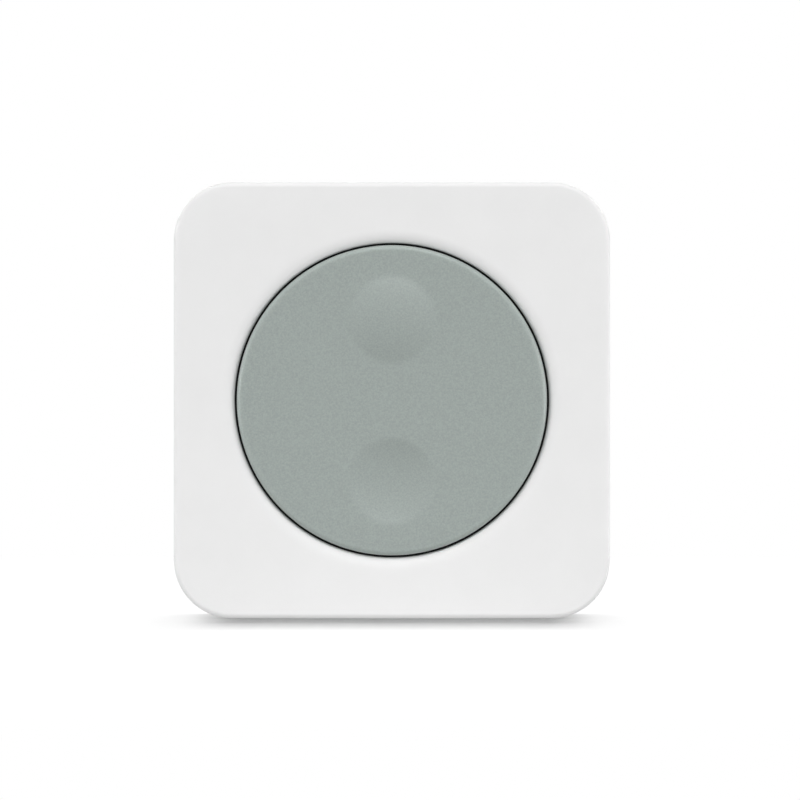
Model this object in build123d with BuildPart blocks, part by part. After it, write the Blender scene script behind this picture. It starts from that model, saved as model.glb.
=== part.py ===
from build123d import *
import math
import os

# A wall-mounted smart button: a square white frame round a rocking round cap, on a magnetic wall plate.
# The wall is the plane y = 0, +Z is up and the button faces -Y. Lengths are in millimetres.
# A depth is a distance from the wall towards the front.

os.makedirs("parts", exist_ok=True)

# Frame and cap, as seen from the front
cover_size = 65.0
cover_corner_radius = 8.65
frame_band = 9.4
cap_gap = 0.36
cap_proud = 0.3
dot_margin = 4.1
dot_gap = 10.4
dot_height = 1.0
dot_blend_share = 0.14

# Wall plate, its adhesive pads and magnets
plate_thickness = 2.4
plate_side_clearance = 0.3
plate_gap = 0.3
plate_edge_chamfer = 0.4
pad_width = 12.0
pad_thickness = 0.8
pad_side_margin = 4.5
pad_end_margin = 9.5
pad_corner_radius = 1.5
pad_clearance = 0.2
magnet_radius = 4.0
magnet_thickness = 1.2
magnet_clearance = 0.05
magnet_door_gap = 1.5
wall_screw_margin = 9.5
wall_screw_hole_radius = 1.8
wall_screw_head_radius = 3.3
wall_screw_angle = 90

# Rear housing
rear_wall = 1.5
rear_inset = 0.5
rear_skirt_wall = 2.2
wall_standoff = 0.8
seam_offset = 0.7
tongue_wall = 1.2
tongue_clearance = 0.15
tongue_reach = 2.6
rear_edge_radius = 0.3
keeper_thickness = 0.8
light_window_radius = 0.8

# Front cover
cover_side_wall = 1.8
front_wall = 2.6
lip_width = 1.95
lip_depth = 1.0
edge_radius = 0.75
boss_inset = 7.9
boss_radius = 2.6
boss_clearance = 0.3
boss_gap = 0.05
sleeve_wall = 1.0

# Screws
screw_radius = 0.9
screw_head_radius = 1.9
screw_head_height = 1.1
screw_head_sink = 0.1
screw_length = 7.0
screw_seat = 1.1
screw_hole_clearance = 0.2
screw_head_clearance = 0.3
thread_clearance = 0.02
drive_width = 0.45
drive_depth = 0.6
drive_span_share = 1.25
board_screw_radius = 0.7
board_screw_head_radius = 1.5
board_screw_head_height = 0.8
board_screw_length = 2.4
pilot_overrun = 0.4

# Battery door with its bayonet lugs
door_radius = 13.0
door_clearance = 0.15
door_rim_wall = 0.9
door_turn = 40
lug_count = 3
lug_start = 90
lug_reach = 1.5
lug_width = 5.0
lug_thickness = 0.8
lug_running_gap = 0.05
lug_slot_clearance = 0.3
coin_slot_width = 1.8
coin_slot_length = 16.0
coin_slot_depth = 0.8

# Coin cell, its holder and contacts
cell_radius = 10.0
cell_thickness = 3.2
cell_cap_radius = 8.8
cell_cap_height = 0.45
cell_edge_radius = 0.4
cell_back_gap = 0.1
holder_wall = 1.6
holder_clearance = 0.15
holder_back_gap = 0.15
contact_height = 0.4
contact_thickness = 0.2
contact_gap = 0.03
negative_contact_radius = 5.0
negative_nub_radius = 2.0
positive_contact_width = 4.0
positive_contact_thickness = 0.3
positive_foot_length = 2.4
contact_side_clearance = 0.3

# Circuit board and what is soldered to it
board_clearance = 0.6
board_thickness = 1.0
part_gap = 0.4
shield_width = 6.6
shield_length = 11.0
shield_height = 1.6
shield_sheet = 0.2
shield_corner_radius = 0.6
chip_size = 6.0
chip_height = 0.9
crystal_width = 3.2
crystal_length = 2.5
crystal_height = 0.8
passive_width = 1.0
passive_length = 0.5
passive_height = 0.35
passive_pitch = 1.7
passive_count = 6
antenna_length = 18.0
antenna_width = 1.6
antenna_sheet = 0.3
antenna_height = 1.5
antenna_leg_width = 0.6
antenna_leg_spacing = 4.5
antenna_edge_gap = 1.55
antenna_clearance = 0.5
led_width = 1.6
led_length = 0.8
led_height = 0.6
light_pitch = 7.0

# Key switches under the rocker
switch_size = 6.2
switch_height = 1.8
switch_corner_radius = 0.5
switch_floor = 0.6
switch_cavity_radius = 2.4
switch_cover_sheet = 0.2
switch_tab_width = 2.2
switch_tab_length = 1.0
terminal_width = 0.8
terminal_length = 1.3
terminal_sheet = 0.2
terminal_spacing = 4.0
stem_radius = 1.7
stem_clearance = 0.1
stem_reach = 0.4
flange_radius = 2.15
flange_thickness = 0.38
flange_clearance = 0.035
dome_radius = 2.1
dome_sheet = 0.08
dome_gap = 0.02
post_gap = 0.03

# Rocker
rocker_tilt = 1.5
cap_thickness = 1.6
cap_edge_radius = 0.75
skirt_wall = 1.2
skirt_length = 1.5
frame_thickness = 1.3
frame_clearance = 0.3
post_length = 1.07
post_radius = 1.5
post_tip_radius = 4.0
rib_width = 1.0
rib_height = 0.8
stake_inset = 2.5
stake_radius = 0.8
stake_clearance = 0.05
stake_head_radius = 1.3
stake_head_height = 0.4
pivot_drop = 1.6
pin_radius = 0.75
pin_clearance = 0.04
pin_end_reach = 0.2
pivot_lug_radius = 1.5
pivot_lug_width = 1.5
pivot_lug_gap = 0.2

# Inner frame
chassis_plate = 1.5
chassis_clearance = 0.2
chassis_board_gap = 0.2
throat_clearance = 0.14
ring_wall = 1.8
ledge_lap = 0.8
ledge_clearance = 0.35
ear_width = 2.4
ear_half_height = 2.0
ear_skirt_gap = 0.4
ear_wall = 0.65
standoff_radius = 1.3

# Pairing button at the back
pairing_door_gap = 2.6
pairing_stem_radius = 1.5
pairing_clearance = 0.12
pairing_recess = 0.3
pairing_flange_radius = 2.3
pairing_flange_thickness = 0.5
pairing_flange_gap = 0.05
pairing_travel = 0.25
pairing_switch_size = 3.6
pairing_switch_height = 1.5
pairing_switch_floor = 0.3
pairing_plunger_radius = 0.8
pairing_plunger_reach = 0.35
pairing_end_gap = 0.1
pairing_plunger_clearance = 0.1

# One overrun serves all cuts that pass right through
overrun = 1.0

# The stack of depths, from the wall to the front
rear_back = plate_thickness + plate_gap
rear_front = rear_back + rear_wall
cell_back = rear_front + cell_back_gap
cell_front = cell_back + cell_thickness
board_back = cell_front + contact_height
board_front = board_back + board_thickness
switch_top = board_front + switch_height
switch_cover_top = switch_top + switch_cover_sheet
stem_top = switch_cover_top + stem_reach
frame_back = stem_top + post_gap + post_length
cap_back = frame_back + frame_thickness
cap_front = cap_back + cap_thickness
cover_front = cap_front - cap_proud
front_wall_back = cover_front - front_wall
cover_back = rear_back + seam_offset
pivot_depth = frame_back - pivot_drop
skirt_back = cap_back - skirt_length

# Places across the button that follow from the frame, the cap and the door
cap_radius = cover_size / 2 - frame_band
dot_radius = (cap_radius - dot_margin - dot_gap / 2) / 2
cavity_size = cover_size - 2 * cover_side_wall
cavity_corner_radius = cover_corner_radius - cover_side_wall
tongue_size = cavity_size - 2 * tongue_clearance
tongue_corner_radius = cavity_corner_radius - tongue_clearance
board_size = tongue_size - 2 * (tongue_wall + board_clearance)
board_corner_radius = tongue_corner_radius - tongue_wall - board_clearance
rear_size = cover_size - 2 * rear_inset
rear_corner_radius = cover_corner_radius - rear_inset
recess_size = rear_size - 2 * rear_skirt_wall
recess_corner_radius = rear_corner_radius - rear_skirt_wall
plate_size = recess_size - 2 * plate_side_clearance
plate_corner_radius = recess_corner_radius - plate_side_clearance
pad_spacing = plate_size - pad_width - 2 * pad_side_margin
pad_length = plate_size - 2 * pad_end_margin
wall_screw_spacing = plate_size - 2 * wall_screw_margin
boss_spacing = cover_size - 2 * boss_inset
slot_radius = door_radius + lug_reach + lug_slot_clearance
magnet_spacing = math.sqrt(2) * (slot_radius + magnet_door_gap + magnet_radius)
pairing_place = (0, slot_radius + pairing_door_gap + pairing_flange_radius)
light_place = (light_pitch, pairing_place[1])
antenna_place = board_size / 2 - antenna_edge_gap - antenna_width / 2
press_offset = dot_gap / 2 + dot_radius
opening_radius = cap_radius + cap_gap
ring_radius = opening_radius + ring_wall
ledge_radius = cap_radius - ledge_lap
board_screw_spacing = (ring_radius + ledge_radius) / math.sqrt(2)
frame_radius = cap_radius - skirt_wall - frame_clearance
stake_spacing = math.sqrt(2) * (frame_radius - stake_inset)
pin_outer = cap_radius - skirt_wall - ear_skirt_gap
ear_place = pin_outer - ear_width
pivot_lug_place = ear_place - pivot_lug_gap - pivot_lug_width
pin_inner = pivot_lug_place - pin_end_reach
rib_radius = pivot_lug_place - rib_width / 2

# Places on the board's front, to both sides of the key switches and their terminals
switch_side = switch_size / 2 + terminal_length + part_gap
shield_place = (-(switch_side + shield_width / 2), 0)
chip_place = (switch_side + chip_size / 2, 0)
crystal_place = (chip_place[0], (chip_size + crystal_length) / 2 + part_gap)
passive_column_place = (switch_side + chip_size + part_gap + passive_width / 2, 0)
passive_row_half = (passive_pitch * (passive_count - 1) + passive_length) / 2
passive_row_place = (
    -(switch_side + passive_row_half),
    -(shield_length + passive_width) / 2 - part_gap,
)

# Travels that follow from the rocker's tilt
tilt = math.radians(rocker_tilt)
stem_travel = press_offset * math.sin(tilt)
edge_travel = cap_radius * math.sin(tilt)

print("front face", round(cover_front, 3), "cap face", round(cap_front, 3), "pivot", round(pivot_depth, 3))
print("switch travel", round(stem_travel, 4), "cap edge travel", round(edge_travel, 4))


def at(depth):
    """The plane across the button at a depth, facing the front, with its x along X and its y along Z."""
    return Plane.XZ.offset(depth)


# Wall plate: a flat square with pockets for two pads at the back and four magnets at the front
with BuildPart() as wall_plate:
    with BuildSketch(at(0)):
        RectangleRounded(plate_size, plate_size, plate_corner_radius)
    extrude(amount=plate_thickness)
    chamfer(wall_plate.faces().sort_by(Axis.Y)[0].edges(), plate_edge_chamfer)
    with BuildSketch(at(0)):
        with GridLocations(pad_spacing, 0, 2, 1):
            RectangleRounded(
                pad_width + 2 * pad_clearance,
                pad_length + 2 * pad_clearance,
                pad_corner_radius + pad_clearance,
            )
    extrude(amount=pad_thickness, mode=Mode.SUBTRACT)
    with BuildSketch(at(plate_thickness)):
        with GridLocations(magnet_spacing, magnet_spacing, 2, 2):
            Circle(magnet_radius + magnet_clearance)
    extrude(amount=-magnet_thickness, mode=Mode.SUBTRACT)
    with Locations(at(plate_thickness)):
        with GridLocations(0, wall_screw_spacing, 1, 2):
            CounterSinkHole(
                wall_screw_hole_radius,
                wall_screw_head_radius,
                counter_sink_angle=wall_screw_angle,
            )
wall_plate.part.label = "wall_plate"
export_step(wall_plate.part, "parts/wall_plate.step")

with BuildPart() as adhesive_pads:
    with BuildSketch(at(0)):
        with GridLocations(pad_spacing, 0, 2, 1):
            RectangleRounded(pad_width, pad_length, pad_corner_radius)
    extrude(amount=pad_thickness)
adhesive_pads.part.label = "adhesive_pads"
export_step(adhesive_pads.part, "parts/adhesive_pads.step")

with BuildPart() as plate_magnets:
    with BuildSketch(at(plate_thickness)):
        with GridLocations(magnet_spacing, magnet_spacing, 2, 2):
            Circle(magnet_radius)
    extrude(amount=-magnet_thickness)
plate_magnets.part.label = "plate_magnets"
export_step(plate_magnets.part, "parts/plate_magnets.step")

# Rear housing: a skirt round the wall plate, a back wall, and a tongue inside the front cover
tongue_front = rear_front + tongue_reach
lug_back = rear_front + lug_running_gap
lug_front = lug_back + lug_thickness
lug_radial_length = 2 * (lug_reach + door_rim_wall)
screw_head_back = rear_back + screw_head_sink
screw_head_front = screw_head_back + screw_head_height
seat_front = screw_head_front + screw_seat
boss_back = seat_front + boss_gap
sleeve_bore = boss_radius + boss_clearance

with BuildPart() as rear_housing:
    with BuildSketch(at(wall_standoff)):
        RectangleRounded(rear_size, rear_size, rear_corner_radius)
    extrude(amount=cover_back - wall_standoff)
    fillet(rear_housing.faces().sort_by(Axis.Y)[-1].edges(), rear_edge_radius)
    with BuildSketch(at(cover_back)):
        RectangleRounded(tongue_size, tongue_size, tongue_corner_radius)
    extrude(amount=tongue_front - cover_back)
    with BuildSketch(at(rear_front)):
        RectangleRounded(
            tongue_size - 2 * tongue_wall,
            tongue_size - 2 * tongue_wall,
            tongue_corner_radius - tongue_wall,
        )
    extrude(amount=tongue_reach + overrun, mode=Mode.SUBTRACT)
    with BuildSketch(at(rear_back)):
        RectangleRounded(recess_size, recess_size, recess_corner_radius)
    extrude(amount=-rear_back, mode=Mode.SUBTRACT)
    # A sleeve round each corner boss presses on the board, with a screw seat at its back
    with BuildSketch(at(rear_front)):
        with GridLocations(boss_spacing, boss_spacing, 2, 2):
            Circle(sleeve_bore + sleeve_wall)
    extrude(amount=board_back - rear_front)
    with BuildSketch(at(seat_front)):
        with GridLocations(boss_spacing, boss_spacing, 2, 2):
            Circle(sleeve_bore)
    extrude(amount=board_back - seat_front, mode=Mode.SUBTRACT)
    with BuildSketch(at(rear_back)):
        with GridLocations(boss_spacing, boss_spacing, 2, 2):
            Circle(screw_head_radius + screw_head_clearance)
    extrude(amount=screw_head_front - rear_back, mode=Mode.SUBTRACT)
    with BuildSketch(at(screw_head_front)):
        with GridLocations(boss_spacing, boss_spacing, 2, 2):
            Circle(screw_radius + screw_hole_clearance)
    extrude(amount=screw_seat, mode=Mode.SUBTRACT)
    # The round door opening, with a slot for each lug at the end of the door's turn
    with BuildSketch(at(rear_back)):
        with PolarLocations(door_radius, lug_count, start_angle=lug_start - door_turn):
            Rectangle(lug_radial_length, lug_width + 2 * lug_slot_clearance)
        Circle(slot_radius, mode=Mode.INTERSECT)
        Circle(door_radius + door_clearance)
    extrude(amount=rear_wall, mode=Mode.SUBTRACT)
    # Pockets for the steel keepers, the pairing button's hole and the light window
    with BuildSketch(at(rear_back)):
        with GridLocations(magnet_spacing, magnet_spacing, 2, 2):
            Circle(magnet_radius + magnet_clearance)
    extrude(amount=keeper_thickness, mode=Mode.SUBTRACT)
    with BuildSketch(at(rear_back)):
        with Locations(pairing_place):
            Circle(pairing_stem_radius + pairing_clearance)
        with Locations(light_place):
            Circle(light_window_radius)
    extrude(amount=rear_wall, mode=Mode.SUBTRACT)
rear_housing.part.label = "rear_housing"
export_step(rear_housing.part, "parts/rear_housing.step")

with BuildPart() as keeper_discs:
    with BuildSketch(at(rear_back)):
        with GridLocations(magnet_spacing, magnet_spacing, 2, 2):
            Circle(magnet_radius)
    extrude(amount=keeper_thickness)
keeper_discs.part.label = "keeper_discs"
export_step(keeper_discs.part, "parts/keeper_discs.step")

# Front cover: a square shell with a large round opening whose edge rolls in, and four screw bosses
pilot_depth = screw_head_front + screw_length + pilot_overrun - boss_back

with BuildPart() as front_cover:
    with BuildSketch(at(cover_back)):
        RectangleRounded(cover_size, cover_size, cover_corner_radius)
    extrude(amount=cover_front - cover_back)
    fillet(front_cover.faces().sort_by(Axis.Y)[0].edges(), edge_radius)
    with BuildSketch(at(cover_back)):
        RectangleRounded(cavity_size, cavity_size, cavity_corner_radius)
    extrude(amount=front_wall_back - cover_back, mode=Mode.SUBTRACT)
    with BuildSketch(at(boss_back)):
        with GridLocations(boss_spacing, boss_spacing, 2, 2):
            Circle(boss_radius)
    extrude(amount=front_wall_back - boss_back)
    with BuildSketch(at(boss_back)):
        with GridLocations(boss_spacing, boss_spacing, 2, 2):
            Circle(screw_radius + thread_clearance)
    extrude(amount=pilot_depth, mode=Mode.SUBTRACT)
    with BuildSketch(at(front_wall_back)):
        Circle(opening_radius)
    extrude(amount=front_wall, mode=Mode.SUBTRACT)
    # The lip is a quarter of an ellipse, wider than deep
    with BuildSketch(Plane.YZ):
        with Locations((lip_depth - cover_front, opening_radius + lip_width)):
            Rectangle(lip_depth, opening_radius + lip_width, align=(Align.MAX, Align.MAX))
            Ellipse(lip_depth, lip_width, mode=Mode.SUBTRACT)
    revolve(axis=Axis.Y, mode=Mode.SUBTRACT)
front_cover.part.label = "front_cover"
export_step(front_cover.part, "parts/front_cover.step")

# Housing screws: pan heads in the rear housing's recesses, shanks in the front cover's bosses
with BuildPart() as housing_screws:
    with BuildSketch(at(screw_head_back)):
        with GridLocations(boss_spacing, boss_spacing, 2, 2):
            Circle(screw_head_radius)
    extrude(amount=screw_head_height)
    chamfer(
        housing_screws.faces().sort_by(Axis.Y)[-4:].edges(),
        screw_head_height / 4,
    )
    with BuildSketch(at(screw_head_back)):
        with GridLocations(boss_spacing, boss_spacing, 2, 2):
            Rectangle(drive_span_share * screw_head_radius, drive_width)
            Rectangle(drive_width, drive_span_share * screw_head_radius)
    extrude(amount=drive_depth, mode=Mode.SUBTRACT)
    with BuildSketch(at(screw_head_front)):
        with GridLocations(boss_spacing, boss_spacing, 2, 2):
            Circle(screw_radius)
    extrude(amount=screw_length)
housing_screws.part.label = "housing_screws"
export_step(housing_screws.part, "parts/housing_screws.step")

# Circuit board, with holes for the corner bosses and its own screws
with BuildPart() as circuit_board:
    with BuildSketch(at(board_back)):
        RectangleRounded(board_size, board_size, board_corner_radius)
        with GridLocations(boss_spacing, boss_spacing, 2, 2):
            Circle(boss_radius + boss_clearance, mode=Mode.SUBTRACT)
        with GridLocations(board_screw_spacing, board_screw_spacing, 2, 2):
            Circle(board_screw_radius + screw_hole_clearance, mode=Mode.SUBTRACT)
    extrude(amount=board_thickness)
circuit_board.part.label = "circuit_board"
export_step(circuit_board.part, "parts/circuit_board.step")

# Chassis: the black inner frame behind the opening, which carries the pivot pins and the board
chassis_size = cavity_size - 2 * chassis_clearance
chassis_corner_radius = cavity_corner_radius - chassis_clearance
chassis_plate_back = front_wall_back - chassis_plate
chassis_back = board_front + chassis_board_gap
ledge_front = skirt_back - edge_travel - ledge_clearance
ear_front = pivot_depth + pin_radius + ear_wall
bridge_length = ledge_radius + ledge_lap / 2 - ear_place
board_screw_front = board_back + board_screw_length

with BuildPart() as chassis:
    with BuildSketch(at(chassis_plate_back)):
        RectangleRounded(chassis_size, chassis_size, chassis_corner_radius)
    extrude(amount=chassis_plate)
    with BuildSketch(at(chassis_back)):
        Circle(ring_radius)
        RectangleRounded(
            chassis_size, chassis_size, chassis_corner_radius, mode=Mode.INTERSECT
        )
    extrude(amount=front_wall_back - chassis_back)
    with BuildSketch(at(board_front)):
        with GridLocations(board_screw_spacing, board_screw_spacing, 2, 2):
            Circle(standoff_radius)
    extrude(amount=chassis_board_gap)
    with BuildSketch(at(board_front)):
        with GridLocations(boss_spacing, boss_spacing, 2, 2):
            Circle(boss_radius + boss_clearance)
    extrude(amount=front_wall_back - board_front, mode=Mode.SUBTRACT)
    with BuildSketch(at(board_front)):
        with Locations((0, antenna_place)):
            Rectangle(
                antenna_length + 2 * antenna_clearance,
                antenna_width + 2 * antenna_clearance,
            )
    extrude(amount=antenna_height + antenna_clearance, mode=Mode.SUBTRACT)
    with BuildSketch(at(board_front)):
        Circle(ledge_radius)
    extrude(amount=front_wall_back - board_front, mode=Mode.SUBTRACT)
    with BuildSketch(at(ledge_front)):
        Circle(opening_radius + throat_clearance)
    extrude(amount=front_wall_back - ledge_front, mode=Mode.SUBTRACT)
    with BuildSketch(at(board_front)):
        with GridLocations(board_screw_spacing, board_screw_spacing, 2, 2):
            Circle(board_screw_radius + thread_clearance)
    extrude(amount=board_screw_front + pilot_overrun - board_front, mode=Mode.SUBTRACT)
    # An ear on each side, inside the cap's skirt, with the pin's hole
    for side in (1, -1):
        with BuildSketch(at(chassis_back)):
            with Locations((side * (ear_place + bridge_length / 2), 0)):
                Rectangle(bridge_length, 2 * ear_half_height)
        extrude(amount=ledge_front - chassis_back)
        with BuildSketch(at(chassis_back)):
            with Locations((side * (ear_place + ear_width / 2), 0)):
                Rectangle(ear_width, 2 * ear_half_height)
        extrude(amount=ear_front - chassis_back)
        with BuildSketch(Plane.YZ.offset(side * (ear_place - overrun))):
            with Locations((-pivot_depth, 0)):
                Circle(pin_radius + thread_clearance)
        extrude(amount=side * (ear_width + overrun), mode=Mode.SUBTRACT)
chassis.part.label = "chassis"
export_step(chassis.part, "parts/chassis.step")

with BuildPart() as board_screws:
    with BuildSketch(at(board_back)):
        with GridLocations(board_screw_spacing, board_screw_spacing, 2, 2):
            Circle(board_screw_head_radius)
    extrude(amount=-board_screw_head_height)
    fillet(
        board_screws.faces().sort_by(Axis.Y)[-4:].edges(),
        board_screw_head_height / 3,
    )
    with BuildSketch(at(board_back - board_screw_head_height)):
        with GridLocations(board_screw_spacing, board_screw_spacing, 2, 2):
            Rectangle(drive_span_share * board_screw_head_radius, drive_width)
            Rectangle(drive_width, drive_span_share * board_screw_head_radius)
    extrude(amount=board_screw_head_height / 2, mode=Mode.SUBTRACT)
    with BuildSketch(at(board_back)):
        with GridLocations(board_screw_spacing, board_screw_spacing, 2, 2):
            Circle(board_screw_radius)
    extrude(amount=board_screw_length)
board_screws.part.label = "board_screws"
export_step(board_screws.part, "parts/board_screws.step")

# Pivot pins: one on each side, fixed in the chassis ear and reaching through the rocker's lug
with BuildPart() as pivot_pins:
    for side in (1, -1):
        with BuildSketch(Plane.YZ.offset(side * pin_inner)):
            with Locations((-pivot_depth, 0)):
                Circle(pin_radius)
        extrude(amount=side * (pin_outer - pin_inner))
pivot_pins.part.label = "pivot_pins"
export_step(pivot_pins.part, "parts/pivot_pins.step")

# Battery door: a round lid with a coin slot, a rim and three lugs behind the back wall
with BuildPart() as battery_door:
    with BuildSketch(at(rear_back)):
        Circle(door_radius)
    extrude(amount=rear_wall)
    chamfer(
        battery_door.faces().sort_by(Axis.Y)[-1].edges(), rear_edge_radius / 2
    )
    with BuildSketch(at(rear_back)):
        SlotOverall(coin_slot_length, coin_slot_width)
    extrude(amount=coin_slot_depth, mode=Mode.SUBTRACT)
    with BuildSketch(at(rear_front)):
        Circle(door_radius)
        Circle(door_radius - door_rim_wall, mode=Mode.SUBTRACT)
    extrude(amount=lug_front - rear_front)
    with BuildSketch(at(lug_back)):
        with PolarLocations(door_radius, lug_count, start_angle=lug_start):
            Rectangle(lug_radial_length, lug_width)
        Circle(door_radius + lug_reach, mode=Mode.INTERSECT)
        Circle(door_radius - door_rim_wall, mode=Mode.SUBTRACT)
    extrude(amount=lug_thickness)
battery_door.part.label = "battery_door"
export_step(battery_door.part, "parts/battery_door.step")

# Coin cell: the wide can faces the door, the narrower cap faces the board
with BuildPart() as coin_cell:
    with BuildSketch(at(cell_back)):
        Circle(cell_radius)
    extrude(amount=cell_thickness - cell_cap_height)
    fillet(coin_cell.faces().sort_by(Axis.Y)[-1].edges(), cell_edge_radius)
    with BuildSketch(at(cell_front - cell_cap_height)):
        Circle(cell_cap_radius)
    extrude(amount=cell_cap_height)
coin_cell.part.label = "coin_cell"
export_step(coin_cell.part, "parts/coin_cell.step")

# Cell holder: a ring on the back of the board, open where the positive contact stands
holder_back = lug_front + holder_back_gap
holder_bore = cell_radius + holder_clearance
contact_back = holder_back + contact_side_clearance
notch_width = positive_contact_width + 2 * contact_side_clearance
notch_place = (0, holder_bore + holder_wall / 2)

with BuildPart() as cell_holder:
    with BuildSketch(at(holder_back)):
        Circle(holder_bore + holder_wall)
        Circle(holder_bore, mode=Mode.SUBTRACT)
        with Locations(notch_place):
            Rectangle(notch_width, 2 * holder_wall, mode=Mode.SUBTRACT)
    extrude(amount=board_back - holder_back)
cell_holder.part.label = "cell_holder"
export_step(cell_holder.part, "parts/cell_holder.step")

with BuildPart() as cell_contact_negative:
    with BuildSketch(at(board_back)):
        Circle(negative_contact_radius)
    extrude(amount=-contact_thickness)
    with BuildSketch(at(board_back - contact_thickness)):
        Circle(negative_nub_radius)
    extrude(amount=-(contact_height - contact_thickness - contact_gap))
cell_contact_negative.part.label = "cell_contact_negative"
export_step(cell_contact_negative.part, "parts/cell_contact_negative.step")

positive_contact_place = cell_radius + contact_gap

with BuildPart() as cell_contact_positive:
    with BuildSketch(at(contact_back)):
        with Locations((0, positive_contact_place + positive_contact_thickness / 2)):
            Rectangle(positive_contact_width, positive_contact_thickness)
    extrude(amount=board_back - contact_back)
    with BuildSketch(at(board_back)):
        with Locations((0, positive_contact_place + positive_foot_length / 2)):
            Rectangle(positive_contact_width, positive_foot_length)
    extrude(amount=-positive_contact_thickness)
cell_contact_positive.part.label = "cell_contact_positive"
export_step(cell_contact_positive.part, "parts/cell_contact_positive.step")

# Radio shield: a folded can, open towards the board
with BuildPart() as radio_shield:
    with BuildSketch(at(board_front)):
        with Locations(shield_place):
            RectangleRounded(shield_width, shield_length, shield_corner_radius)
    extrude(amount=shield_height)
    with BuildSketch(at(board_front)):
        with Locations(shield_place):
            RectangleRounded(
                shield_width - 2 * shield_sheet,
                shield_length - 2 * shield_sheet,
                shield_corner_radius - shield_sheet,
            )
    extrude(amount=shield_height - shield_sheet, mode=Mode.SUBTRACT)
radio_shield.part.label = "radio_shield"
export_step(radio_shield.part, "parts/radio_shield.step")

with BuildPart() as microcontroller:
    with BuildSketch(at(board_front)):
        with Locations(chip_place):
            Rectangle(chip_size, chip_size)
    extrude(amount=chip_height)
    chamfer(microcontroller.faces().sort_by(Axis.Y)[0].edges(), chip_height / 8)
microcontroller.part.label = "microcontroller"
export_step(microcontroller.part, "parts/microcontroller.step")

with BuildPart() as crystal:
    with BuildSketch(at(board_front)):
        with Locations(crystal_place):
            RectangleRounded(crystal_width, crystal_length, crystal_length / 8)
    extrude(amount=crystal_height)
crystal.part.label = "crystal"
export_step(crystal.part, "parts/crystal.step")

with BuildPart() as passive_parts:
    with BuildSketch(at(board_front)):
        with Locations(passive_column_place):
            with GridLocations(0, passive_pitch, 1, passive_count):
                Rectangle(passive_width, passive_length)
        with Locations(passive_row_place):
            with GridLocations(passive_pitch, 0, passive_count, 1):
                Rectangle(passive_length, passive_width)
    extrude(amount=passive_height)
passive_parts.part.label = "passive_parts"
export_step(passive_parts.part, "parts/passive_parts.step")

# Antenna: a folded strip on two legs along the board's top edge
with BuildPart() as antenna:
    with BuildSketch(at(board_front + antenna_height - antenna_sheet)):
        with Locations((0, antenna_place)):
            Rectangle(antenna_length, antenna_width)
    extrude(amount=antenna_sheet)
    with BuildSketch(at(board_front)):
        for leg in (0, 1):
            leg_place = leg * antenna_leg_spacing + (antenna_leg_width - antenna_length) / 2
            with Locations((leg_place, antenna_place)):
                Rectangle(antenna_leg_width, antenna_width)
    extrude(amount=antenna_height - antenna_sheet)
antenna.part.label = "antenna"
export_step(antenna.part, "parts/antenna.step")

with BuildPart() as status_led:
    with BuildSketch(at(board_back)):
        with Locations(light_place):
            Rectangle(led_width, led_length)
    extrude(amount=-led_height)
status_led.part.label = "status_led"
export_step(status_led.part, "parts/status_led.step")

# Two key switches, one behind the bump and one behind the dimple
cavity_floor = board_front + switch_floor
flange_front = switch_top - stem_travel - flange_clearance
flange_back = flange_front - flange_thickness
dome_top = flange_back - dome_gap

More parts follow.
